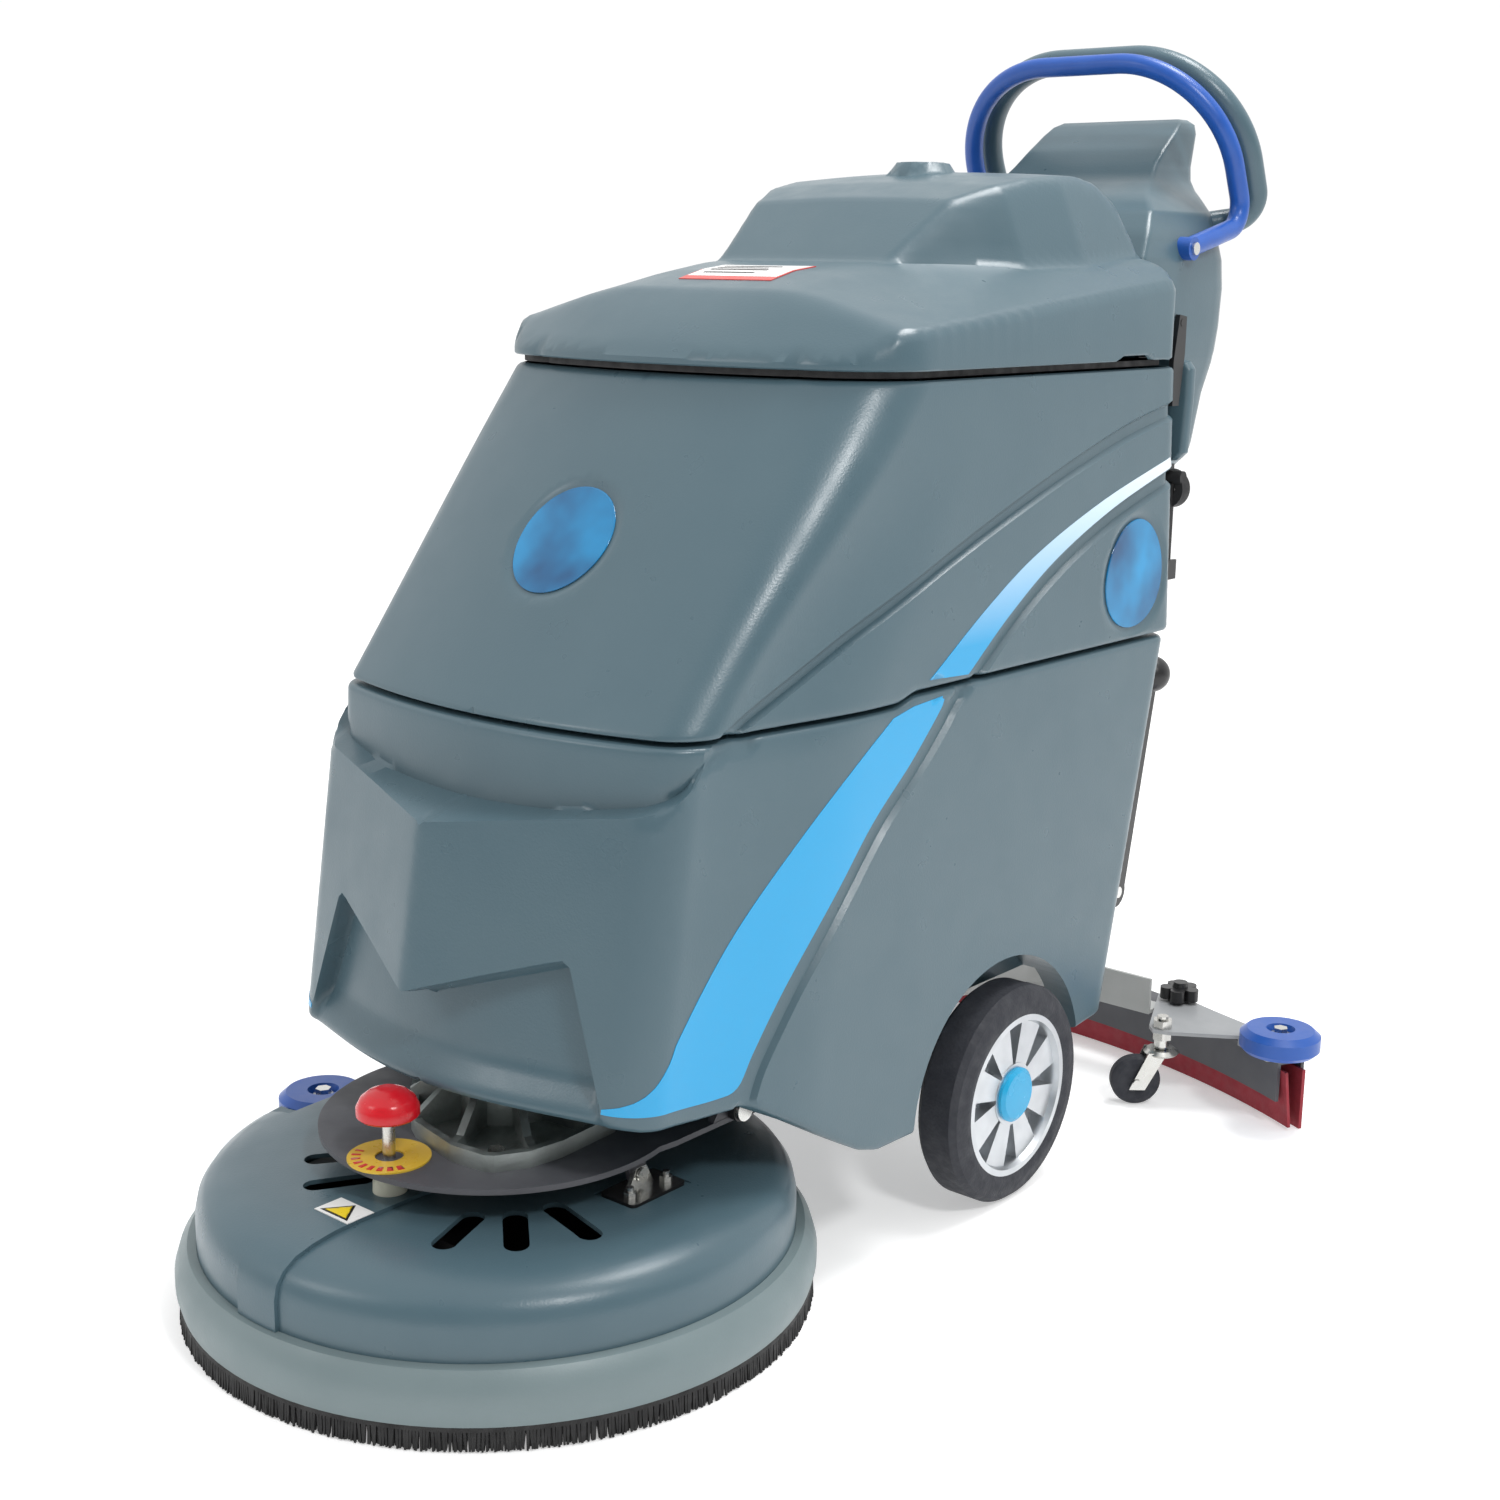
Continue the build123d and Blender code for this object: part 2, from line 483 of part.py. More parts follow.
def deck_plate():
    top = PLATE_Z + PLATE_T
    plate = rod_z(0, PLATE_Y, PLATE_Z, top, PLATE_R)
    plate = plate - block(-125, 125, 118, 200, 140, 170)
    for s in SIDES:
        tongue = [(s * 152, 30), (s * 155.4, 60), (s * 155.4, 142), (s * 126, 150), (s * 120, 30)]
        plate = plate + slab_z(tongue, PLATE_Z, top)
    for s in SIDES:
        x0, x1 = sorted((s * 148, s * 155))
        ear = slab_x([(EAR_Y - 30, PLATE_Z + 1), (EAR_Y + 14, PLATE_Z + 1), (EAR_Y + 12, EAR_Z + 8),
                      (EAR_Y - 12, EAR_Z + 12)], x0, x1)
        plate = plate + ear
        x0, x1 = sorted((s * (TILT_X - 9), s * (TILT_X - 4)))
        lug = slab_x([(TILT_Y - 14, PLATE_Z + 1), (TILT_Y + 14, PLATE_Z + 1), (TILT_Y + 7, TILT_Z - 6),
                      (TILT_Y - 7, TILT_Z - 6)], x0, x1)
        plate = plate + lug
        # bracket of the levelling link
        x0, x1 = sorted((s * 8, s * 14))
        y0, z0 = LINK_FRONT
        plate = plate + slab_x([(96, PLATE_Z + 1), (y0 - 8, z0 - 7), (y0 + 8, z0 - 7), (y0 + 8, z0 + 8),
                                (96, top + 6)], x0, x1)
    plate = plate - rod_z(0, 0, 140, 170, 32)
    plate = plate - rod_z(0, KNOB_Y, 140, 170, 5.5 + RUN)
    for s in SIDES:
        plate = plate - rod_x(EAR_Y, EAR_Z, *sorted((s * 140, s * 158)), 6)
        plate = plate - rod_x(TILT_Y, TILT_Z, *sorted((s * 130, s * 146)), 4)
        plate = plate - rod_x(*LINK_FRONT, *sorted((s * 7, s * 16)), 5)
    node("deck_plate", plate)
    dial = turned([(12, top), (35, top), (35, top + 1.5), (12, top + 1.5)], 0, KNOB_Y)
    node("tilt_dial", dial)


CASTING_BOLTS = ((-60, -34), (78, -76), (-92, 30), (92, 22), (-56, 64), (56, 64))


def gearmotor():
    base = PLATE_Z + PLATE_T
    rim = [(-104, -8), (-70, -41), (-30, -75), (-14, -84), (46, -97), (80, -93), (88, -88), (103, -62),
           (108, -29), (104, 38), (70, 78), (-70, 78), (-106, 38)]
    pocket = offset(Polygon(*rim, align=None), -7, kind=Kind.INTERSECTION)
    casting = slab_z(rim, base, base + 15) - Pos(0, 0, base + 5) * extrude(pocket, 20)
    casting = casting + rod_z(0, 8, base, base + 46, 46)
    for i in range(10):
        rib = slab_x([(0, base), (125, base), (125, base + 13), (92, base + 14), (56, base + 42),
                      (0, base + 42)], -3.5, 3.5)
        casting = casting + (Pos(0, 8, 0) * Rot(0, 0, 36 * i + 22) * rib & slab_z(rim, base, base + 60))
    casting = casting - rod_z(0, 0, base - 5, base + 30, 12 + RUN)
    for x, y in CASTING_BOLTS:
        casting = casting - rod_z(x, y, base + 5, base + 60, 8.5)
    node("gearbox_casting", casting)
    can = turned([(0, base + 46), (64, base + 46), (66, base + 52), (66, base + 176), (58, base + 186),
                  (0, base + 186)], 0, 8)
    node("drive_motor", can)
    bolts = []
    for x, y in CASTING_BOLTS:
        bolt = hex_nut_z(x, y, base + 5, 10, 13) + rod_z(x, y, base + 5, base + 7, 8)
        bolts.append(bolt)
    pins = [rod_x(*LINK_FRONT, -15, 15, 5)]
    for s in SIDES:
        pins.append(headed_pin(EAR_Y, EAR_Z, s))
        pins.append(rod_x(TILT_Y, TILT_Z, *sorted((s * (TILT_X - 11), s * (TILT_X + 3))), 4)
                    + rod_x(TILT_Y, TILT_Z, *sorted((s * (TILT_X + 1.6), s * (TILT_X + 4))), 6.5))
    node("carrier_fasteners", *bolts, *pins)


def brush():
    shaft = rod_z(0, 0, 44, PLATE_Z + PLATE_T + 28, 12)
    driver = turned([(12, 24), (PAD_R - 6, 24), (PAD_R - 6, 34), (70, 40), (60, 58), (12, 58)])
    node("pad_driver", driver - rod_z(0, 0, 40, 60, 12), shaft)
    node("scrub_pad", turned([(40, 0), (PAD_R, 0), (PAD_R, 24), (40, 24)]))


# ---------------------------------------------------------------- deck housing
POCKET_R = 47.0           # pocket of the wall roller
POCKET_FLOOR = DECK_ROLLER_Z - 2
STEP_Z = 112.0
FLUTE_X, FLUTE_H = 24.0, 3.5        # half width and height of the raised flute
VENT_WIDTH = 21.0
VENTS = [((105, -165), (81, -100)), ((154, -126), (101, -78)), ((186, -69), (112, -50)),
         ((-65, -165), (-32, -108)), ((-107, -131), (-70, -78))]


def dome(grow):
    """Rounded shoulder of the deck cover, from the side wall in to the flat top."""
    shoulder = [(262, 92), (259.5, 104), (253, 113), (242, 119.5), (226, 124), (205, 127), (180, 128)]
    return [(r + grow * max(0, (r - 225) / 37), z + grow * min(1, (270 - r) / 30)) for r, z in shoulder]


def deck_cover():
    outer = turned([(0, 40), (COVER_R, 40), *dome(0), (0, COVER_TOP)])
    t = COVER_WALL
    inner = turned([(0, 39), (COVER_R - t, 39), *dome(-t), (0, COVER_TOP - t)])
    # raised flute down the middle of the front
    flute = turned([(0, 60), (COVER_R + FLUTE_H, 60), *dome(FLUTE_H), (0, COVER_TOP + FLUTE_H)])
    outer = outer + (block(-FLUTE_X, FLUTE_X, -COVER_R - FLUTE_H, -95, 66, COVER_TOP + FLUTE_H) & flute)
    # step that the wall roller stands on
    step_x, step_y = DECK_ROLLER_X + 42, POCKET_R + 25
    outer = outer - block(-300, step_x, -step_y, step_y, STEP_Z, 200)
    inner = inner - block(-300, step_x + t, -step_y - t, step_y + t, STEP_Z - t, 200)
    roller = (DECK_ROLLER_X, DECK_ROLLER_Y)
    outer = outer - rod_z(*roller, POCKET_FLOOR, 200, POCKET_R)
    inner = inner - rod_z(*roller, POCKET_FLOOR - t, 200, POCKET_R + t)
    cover = outer - inner
    cover = cover - rod_z(0, 0, 110, 140, 60)
    for (x0, y0), (x1, y1) in VENTS:
        run = math.hypot(x1 - x0, y1 - y0)
        slot = extrude(SlotCenterToCenter(run - VENT_WIDTH, VENT_WIDTH), 40)
        turn = math.degrees(math.atan2(y1 - y0, x1 - x0))
        cover = cover - Pos((x0 + x1) / 2, (y0 + y1) / 2, 100) * Rot(0, 0, turn) * slot
    for s in SIDES:
        # sunk seat of the hinge bracket
        x0, x1 = sorted((s * 127, s * 173))
        cover = cover - block(x0, x1, TILT_Y - 36, TILT_Y + 36, COVER_TOP - 1.5, COVER_TOP + 2)
    cover = cover - rod_z(*roller, 70, 100, 6)
    node("deck_cover", cover)


def deck_ring():
    ring = turned([(272, 21), (278, 21), (281, 32), (281, 44), (277, 57), (270, 65), (COVER_R + 0.3, 66),
                   (COVER_R + 0.3, 60), (268, 58), (272, 50)])
    node("splash_ring", ring)
    strip = turned([(273, 0), (279.5, 0), (277.5, 21), (273, 21)])
    node("bristle_skirt", strip)


def tilt_hinges():
    plates = []
    nuts = []
    for s in SIDES:
        z0 = COVER_TOP - 1.5
        x0, x1 = sorted((s * 130, s * 170))
        base = block(x0, x1, TILT_Y - 33, TILT_Y + 33, z0, z0 + 3)
        base = fillet(base.edges().filter_by(Axis.Z), 5)
        x0, x1 = sorted((s * (TILT_X - 3), s * (TILT_X + 1)))
        ear = slab_x([(TILT_Y - 16, z0 + 2), (TILT_Y + 16, z0 + 2), (TILT_Y + 6, TILT_Z + 7),
                      (TILT_Y - 6, TILT_Z + 7)], x0, x1)
        plate = base + ear - rod_x(TILT_Y, TILT_Z, *sorted((s * 140, s * 150)), 4 + RUN)
        plates.append(plate)
        for e in (-1, 1):
            x, y = s * (TILT_X + 9), TILT_Y + e * 22
            nuts.append(hex_nut_z(x, y, z0 + 3, 5, 10) + rod_z(x, y, z0 + 3, z0 + 12, 3))
    bolt = roller_bolt(DECK_ROLLER_X, DECK_ROLLER_Y, DECK_ROLLER_Z, 8)
    node("hinge_brackets", *plates, *nuts, bolt)
    foot = COVER_TOP + FLUTE_H
    nut = turned([(6.2, foot), (14.5, foot), (13.5, PLATE_Z - 3), (6.2, PLATE_Z - 3)], 0, KNOB_Y)
    node("stem_nut", nut)


def tilt_knob():
    stem = rod_z(0, KNOB_Y, COVER_TOP + 6, 205, 5.5)
    head = turned([(5.5, 199), (24.5, 198), (26.5, 200), (26.5, 207), (23, 214), (17, 219), (9, 222.5),
                   (0, 223.5), (0, 205), (5.5, 205)], 0, KNOB_Y)
    node("tilt_stem", stem)
    node("tilt_knob", head)


def bumper_roller(x, y, z):
    """Soft wall roller with a sunk middle."""
    return turned([(6 + RUN, z + 2), (14, z + 2), (18, z), (ROLLER_R - 5, z), (ROLLER_R, z + 5),
                   (ROLLER_R, z + ROLLER_H - 6), (ROLLER_R - 7, z + ROLLER_H), (15, z + ROLLER_H),
                   (12, z + ROLLER_H - 7), (6 + RUN, z + ROLLER_H - 7)], x, y)


def roller_bolt(x, y, z, depth):
    """Shoulder bolt that a roller turns on; depth is how far it reaches below the roller."""
    bolt = rod_z(x, y, z - depth, z + ROLLER_H - 4, 6)
    bolt = bolt + rod_z(x, y, z + ROLLER_H - 6.6, z + ROLLER_H - 5, 10)
    return bolt + hex_nut_z(x, y, z + ROLLER_H - 5, 6, 13)


# ---------------------------------------------------------------- squeegee
def squeegee():
    half = SQ_SPAN / 2

    def curved(points, span=SQ_SPAN, start=90 - half):
        face = Plane.XZ * Polygon(*points, align=None)
        return Pos(0, SQ_Y, 0) * Rot(0, 0, start) * revolve(face, Axis.Z, span)

    r0, r1 = SQ_R - 17, SQ_R + 17
    channel = curved([(r0, 31), (r0 + 4, 31), (r0 + 4, SQ_TOP - 4), (r1 - 4, SQ_TOP - 4), (r1 - 4, 34),
                      (r1, 34), (r1, SQ_TOP), (r0, SQ_TOP)])
    for s in SIDES:
        channel = channel - rod_z(s * SQ_ROLLER_X, SQ_ROLLER_Y, 60, 90, 6 + RUN)
    tail = rod_z(*arc_at(SQ_R, 0), SQ_TOP - 3, 120, 20) - rod_z(*arc_at(SQ_R, 0), 60, 130, 16)
    node("squeegee_channel", channel - rod_z(*arc_at(SQ_R, 0), 60, 90, 16) + tail)
    node("front_blade", curved([(r0 + 4.2, 66), (r0 + 7.5, 66), (r0 + 15.5, 3), (r0 + 12, 3)],
                               SQ_SPAN + 1.2, 90 - half - 0.6))
    node("rear_blade", curved([(r1 - 8, 66), (r1 - 4.2, 66), (r1 - 4.2, 0), (r1 - 8, 0)], SQ_SPAN + 1.2,
                              90 - half - 0.6))
    # arm: two bars to a folded holder plate over the channel
    arm = block(-190, 190, 806, 838, SQ_TOP + 3, SQ_TOP + 7)
    arm = arm + block(-190, 190, 806, 810, SQ_TOP + 3, SQ_TOP + 44)
    for s in SIDES:
        x0, x1 = sorted((s * 44, s * 51))
        arm = arm + slab_x([(SQ_PIVOT_Y, SQ_PIVOT_Z - 12), (760, 96), (808, 84), (808, 118), (760, 122),
                            (SQ_PIVOT_Y, SQ_PIVOT_Z + 12)], x0, x1)
        arm = arm + rod_x(SQ_PIVOT_Y, SQ_PIVOT_Z, x0, x1, 13)
    for s in SIDES:
        arm = arm - rod_x(SQ_PIVOT_Y, SQ_PIVOT_Z, *sorted((s * 40, s * 56)), 6 + RUN)
        arm = arm - rod_z(s * STAR_X, STAR_Y, 70, 100, 5)
    arm = arm + block(-44, 44, 640, 646, 112, 122)
    node("squeegee_arm", arm)

    riggers = []
    for s in SIDES:
        outline = [(CASTER_X - 14, CASTER_Y - 4), (CASTER_X - 4, CASTER_Y - 14),
                   (CASTER_X + 14, CASTER_Y - 8), (310, 796), (338, 806), (330, 822), (250, 846), (186, 868),
                   (176, 852)]
        plate = slab_z(outline, SQ_TOP + 7, SQ_TOP + 11)
        foot = slab_z([(306, 794), (352, 770), (362, 782), (340, 806), (312, 812)], SQ_TOP, SQ_TOP + 7)
        plate = plate + foot
        plate = plate - rod_z(CASTER_X, CASTER_Y, 70, 100, 6) - rod_z(STAR_X, STAR_Y, 70, 100, 5)
        plate = plate + rod_z(SQ_ROLLER_X, SQ_ROLLER_Y, SQ_TOP, SQ_TOP + 7, 14)
        plate = plate - rod_z(SQ_ROLLER_X, SQ_ROLLER_Y, 60, 100, 6)
        plate = plate - rod_z(SQ_ROLLER_X, SQ_ROLLER_Y, SQ_TOP + 8.5, 100, ROLLER_R + 1)
        riggers.append(plate if s > 0 else mirrored(plate))
    node("caster_outriggers", *riggers)

    z = SQ_TOP + 11 + GAP
    studs = [rod_z(s * STAR_X, STAR_Y, SQ_TOP + 1, SQ_TOP + 30, 4.5) for s in SIDES]
    bolts = []
    for s, side in ((1, "left"), (-1, "right")):
        x, y = s * STAR_X, STAR_Y
        star = turned([(4.5 + RUN, z), (12, z), (12, z + 16), (4.5 + RUN, z + 16)], x, y)
        for i in range(5):
            a = math.radians(72 * i)
            star = star + rod_z(x + 14 * math.cos(a), y + 14 * math.sin(a), z + 3, z + 16, 8)
        star = star - rod_z(x, y, z - 2, z + 14, 4.5 + RUN) + rod_z(x, y, z + 19.5, z + 22, 8)
        star = star + turned([(4.5 + RUN, z + 14), (9, z + 14), (8, z + 20), (4.5 + RUN, z + 20)], x, y)
        node("star_knob_" + side, star)
        x, y = s * SQ_ROLLER_X, SQ_ROLLER_Y
        node("squeegee_roller_" + side, bumper_roller(x, y, SQ_TOP + 9))
        bolts.append(roller_bolt(x, y, SQ_TOP + 9, 12))
    stems = [caster_stem(s * CASTER_X, CASTER_Y) for s in SIDES]
    node("squeegee_bolts", *bolts, *studs, *stems)


def caster_stem(x, y):
    """Threaded stem with a nut above and below the outrigger plate."""
    stem = rod_z(x, y, 2 * CASTER_R + 4, SQ_TOP + 24, 6)
    stem = stem + hex_nut_z(x, y, SQ_TOP + 11, 9, 19) + hex_nut_z(x, y, SQ_TOP - 2, 9, 19)
    return stem + rod_z(x, y, 2 * CASTER_R + 9.6, SQ_TOP - 2, 8)


def caster(side, name):
    x, y = side * CASTER_X, CASTER_Y
    z = 2 * CASTER_R + 3
    fork = turned([(6 + RUN, z), (17, z), (19, z + 2), (15, z + 6), (6 + RUN, z + 6)])
    leg = [(-4, z + 4), (16, z + 4), (CASTER_TRAIL + 8, CASTER_R - 8), (CASTER_TRAIL - 9, CASTER_R - 8)]
    taper = slab_y(leg, -14, -11.5) + slab_y(leg, 11.5, 14)
    bridge = block(-6, 14, -14, 14, z, z + 2)
    pin = rod_y(CASTER_TRAIL, CASTER_R, -16, 16, 4)
    body = fork + taper + bridge + pin - rod_z(0, 0, 40, 80, 6 + RUN)
    node("caster_fork_" + name, Pos(x, y, 0) * Rot(0, 0, CASTER_TURN) * body)
    tread = turned_x([(-9, 4 + RUN), (9, 4 + RUN), (9, 18), (9.5, 20), (8, CASTER_R - 2), (5, CASTER_R),
                      (-5, CASTER_R), (-8, CASTER_R - 2), (-9.5, 20), (-9, 18)], 0, 0)
    tread = Pos(CASTER_TRAIL, 0, CASTER_R) * Rot(0, 0, 90) * tread
    node("caster_wheel_" + name, Pos(x, y, 0) * Rot(0, 0, CASTER_TURN) * tread)


# ---------------------------------------------------------------- build and write
def build():
    solution_tank()
    recovery_tank()
    fittings = lid()
    console()
    fittings += handles()
    control_panel()
    insides()
    fittings += latches()
    fittings.append(lift_lever())
    fittings += chassis()
    node("body_fittings", *fittings)
    wheel(1, "left")
    wheel(-1, "right")
    lift_arms()
    deck_plate()
    gearmotor()
    brush()
    deck_cover()
    deck_ring()
    tilt_hinges()
    tilt_knob()
    node("deck_roller", bumper_roller(DECK_ROLLER_X, DECK_ROLLER_Y, DECK_ROLLER_Z))
    squeegee()
    caster(1, "left")
    caster(-1, "right")


os.makedirs("parts", exist_ok=True)
build()
for name, shape in NODES.items():
    export_step(shape.moved(Location((0, -ORIGIN_Y, 0))), "parts/" + name + ".step")
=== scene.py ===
import json
import math

import bmesh
import bpy
import numpy as np
from mathutils import Matrix, Vector
from mathutils.geometry import delaunay_2d_cdt
from mathutils.kdtree import KDTree


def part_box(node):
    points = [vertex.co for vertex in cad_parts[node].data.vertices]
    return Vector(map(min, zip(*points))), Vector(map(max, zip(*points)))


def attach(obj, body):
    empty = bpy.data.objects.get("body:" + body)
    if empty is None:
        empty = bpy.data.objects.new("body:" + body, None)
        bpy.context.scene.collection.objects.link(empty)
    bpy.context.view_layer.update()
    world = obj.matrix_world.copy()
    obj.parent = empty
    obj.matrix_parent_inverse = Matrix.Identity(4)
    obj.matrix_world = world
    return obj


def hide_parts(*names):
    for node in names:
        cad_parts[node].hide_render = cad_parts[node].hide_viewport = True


# Looks of the walk-behind floor scrubber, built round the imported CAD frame.
# Shapes are worked out in millimetres with Y counted from the brush axis,
# and place() turns them into the frame's metres.
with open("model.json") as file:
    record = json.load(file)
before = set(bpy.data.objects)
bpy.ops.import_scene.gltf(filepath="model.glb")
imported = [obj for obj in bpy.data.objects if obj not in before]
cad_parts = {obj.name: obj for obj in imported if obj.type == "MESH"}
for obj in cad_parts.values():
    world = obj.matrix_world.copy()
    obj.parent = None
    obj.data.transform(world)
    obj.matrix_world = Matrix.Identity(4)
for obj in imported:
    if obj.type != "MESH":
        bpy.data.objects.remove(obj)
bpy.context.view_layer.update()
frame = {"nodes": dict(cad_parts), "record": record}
NODES = frame["nodes"]
pad_lo, pad_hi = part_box("scrub_pad")
AXIS_Y = (pad_lo.y + pad_hi.y) / 2        # brush axis, metres
PI = math.pi
SIDES = (-1, 1)


def place(points):
    """Millimetres about the brush axis to metres in the frame."""
    return np.asarray(points, float).reshape(-1, 3) / 1000 + np.array([0, AXIS_Y, 0])


def smooth(u):
    """0 to 1 with soft ends."""
    u = np.clip(u, 0, 1)
    return u * u * (3 - 2 * u)


def soft_min(a, b, r):
    """The lower of two surfaces with a fillet of about r between them."""
    h = np.clip(0.5 + (b - a) / (2 * r), 0, 1)
    return b * (1 - h) + a * h - r * h * (1 - h)


def soft_max(a, b, r):
    return -soft_min(-a, -b, r)


# ---------------------------------------------------------------- camera, lights, floor
def camera():
    """Photograph's viewing angle, from the machine's front left."""
    azimuth, elevation, roll = (math.radians(v) for v in (40.0931, 13.1159, 0.7642))
    forward = Vector((-math.sin(azimuth) * math.cos(elevation), math.cos(azimuth) * math.cos(elevation),
                      -math.sin(elevation)))
    level = Vector((math.cos(azimuth), math.sin(azimuth), 0))
    tall = level.cross(forward)
    right = level * math.cos(roll) + tall * math.sin(roll)
    up = tall * math.cos(roll) - level * math.sin(roll)
    data = bpy.data.cameras.new("camera")
    data.sensor_width = 36
    data.lens = 50.22
    cam = bpy.data.objects.new("camera", data)
    bpy.context.scene.collection.objects.link(cam)
    rows = Matrix((right, up, -forward)).transposed()
    cam.matrix_world = Matrix.Translation((1.27032, -1.17412 + AXIS_Y, 0.89105)) @ rows.to_4x4()
    bpy.context.scene.camera = cam


def area_light(name, at, target, size, power):
    data = bpy.data.lights.new(name, "AREA")
    data.shape = "RECTANGLE"
    data.size, data.size_y = size
    data.energy = power
    lamp = bpy.data.objects.new(name, data)
    bpy.context.scene.collection.objects.link(lamp)
    lamp.location = at
    lamp.rotation_euler = (Vector(target) - Vector(at)).to_track_quat("-Z", "Y").to_euler()


def studio():
    """White studio, bright above and behind the machine and dimmer in front of it."""
    scene = bpy.context.scene
    scene.view_settings.view_transform = "Standard"
    world = bpy.data.worlds.new("studio")
    scene.world = world
    world.use_nodes = True
    tree = world.node_tree
    sky = tree.nodes["Background"]
    where = tree.nodes.new("ShaderNodeTexCoord")
    facing = tree.nodes.new("ShaderNodeVectorMath")
    facing.operation = "DOT_PRODUCT"
    facing.inputs[1].default_value = (-0.55, 0.62, 0.42)
    tree.links.new(where.outputs["Generated"], facing.inputs[0])
    fade = tree.nodes.new("ShaderNodeMapRange")
    fade.interpolation_type = "SMOOTHSTEP"
    fade.inputs["From Min"].default_value = -0.35
    fade.inputs["From Max"].default_value = 0.20
    fade.inputs["To Min"].default_value = 0.34
    fade.inputs["To Max"].default_value = 1.02
    tree.links.new(facing.outputs["Value"], fade.inputs["Value"])
    tree.links.new(fade.outputs["Result"], sky.inputs["Strength"])
    sky.inputs["Color"].default_value = (1, 1, 1, 1)
    area_light("key", (2.4, -1.0, 2.9), (0, 0, 0.6), (0.5, 0.5), 42)
    area_light("top", (0.5, 0.9, 3.1), (0, 0.1, 0.6), (1.1, 0.8), 46)
    area_light("front", (-1.2, -2.8, 2.2), (0, 0, 0.5), (0.8, 0.8), 13)
    size = 40
    bpy.ops.mesh.primitive_plane_add(size=size, location=(0, 0, -0.0006))
    floor = bpy.context.object
    floor.name = "floor"
    material = bpy.data.materials.new("floor")
    material.use_nodes = True
    shader = material.node_tree.nodes["Principled BSDF"]
    shader.inputs["Base Color"].default_value = (0.80, 0.80, 0.80, 1)
    shader.inputs["Roughness"].default_value = 1.0
    shader.inputs["Specular IOR Level"].default_value = 0.0
    shader.inputs["Emission Color"].default_value = (1, 1, 1, 1)
    shader.inputs["Emission Strength"].default_value = 0.42
    floor.data.materials.append(material)


# ---------------------------------------------------------------- materials
class Paint:
    """One node material, built up from a Principled shader."""

    def __init__(self, name, colour, roughness, metallic=0.0):
        self.material = bpy.data.materials.new(name)
        self.material.use_nodes = True
        self.tree = self.material.node_tree
        self.shader = self.tree.nodes["Principled BSDF"]
        self.colour = (*colour, 1)
        self.shader.inputs["Base Color"].default_value = self.colour
        self.shader.inputs["Roughness"].default_value = roughness
        self.shader.inputs["Metallic"].default_value = metallic
        self.where = self.add("ShaderNodeTexCoord").outputs["Object"]
        self.normal = None

    def add(self, kind, **values):
        node = self.tree.nodes.new(kind)
        for key, value in values.items():
            node.inputs[key.replace("_", " ")].default_value = value
        return node

    def link(self, a, b):
        self.tree.links.new(a, b)

    def noise(self, scale, detail=2.0, stretch=None):
        node = self.add("ShaderNodeTexNoise", Scale=scale, Detail=detail)
        where = self.where
        if stretch:
            mapping = self.add("ShaderNodeMapping")
            mapping.inputs["Scale"].default_value = stretch
            self.link(where, mapping.inputs["Vector"])
            where = mapping.outputs["Vector"]
        self.link(where, node.inputs["Vector"])
        return node.outputs["Fac"]

    def voronoi(self, scale):
        node = self.add("ShaderNodeTexVoronoi", Scale=scale)
        self.link(self.where, node.inputs["Vector"])
        return node.outputs["Distance"]

    def spread(self, fac, low, high):
        node = self.add("ShaderNodeMapRange")
        node.inputs["From Min"].default_value = 0.3
        node.inputs["From Max"].default_value = 0.7
        node.inputs["To Min"].default_value = low
        node.inputs["To Max"].default_value = high
        self.link(fac, node.inputs["Value"])
        return node.outputs["Result"]

    def vary_colour(self, fac, other, amount=1.0):
        mix = self.tree.nodes.new("ShaderNodeMix")
        mix.data_type = "RGBA"
        mix.inputs["A"].default_value = self.colour
        mix.inputs["B"].default_value = (*other, 1)
        self.link(self.spread(fac, 0, amount), mix.inputs["Factor"])
        self.link(mix.outputs["Result"], self.shader.inputs["Base Color"])
        return self

    def between(self, axis, low, high):
        """0 to 1 along one axis of the object, in metres."""
        split = self.tree.nodes.new("ShaderNodeSeparateXYZ")
        self.link(self.where, split.inputs["Vector"])
        ramp = self.add("ShaderNodeMapRange")
        ramp.inputs["From Min"].default_value = low
        ramp.inputs["From Max"].default_value = high
        self.link(split.outputs[axis], ramp.inputs["Value"])
        return ramp.outputs["Result"]

    def by_height(self, low, high, other):
        """Fades to another colour with height."""
        mix = self.tree.nodes.new("ShaderNodeMix")
        mix.data_type = "RGBA"
        mix.inputs["A"].default_value = self.colour
        mix.inputs["B"].default_value = (*other, 1)
        self.link(self.between("Z", low, high), mix.inputs["Factor"])
        self.link(mix.outputs["Result"], self.shader.inputs["Base Color"])
        return self

    def vary_rough(self, fac, low, high):
        self.link(self.spread(fac, low, high), self.shader.inputs["Roughness"])
        return self

    def bump(self, fac, distance, strength=1.0):
        """Adds one more layer of relief; distance is in metres."""
        node = self.add("ShaderNodeBump", Strength=strength, Distance=distance)
        self.link(fac, node.inputs["Height"])
        if self.normal:
            self.link(self.normal, node.inputs["Normal"])
        self.normal = node.outputs["Normal"]
        self.link(self.normal, self.shader.inputs["Normal"])
        return self


def orange_peel(name, colour, worn, roughness=(0.30, 0.42), depth=0.00022):
    """Rotomoulded plastic: fine pebbled skin, slightly uneven gloss and tone."""
    paint = Paint(name, colour, sum(roughness) / 2)
    paint.vary_colour(paint.noise(9, 3), worn, 0.8)
    paint.vary_rough(paint.noise(26, 3), *roughness)
    paint.bump(paint.noise(520, 1.5), depth, 0.55)
    paint.bump(paint.noise(14, 1), 0.004, 0.06)
    return paint.material


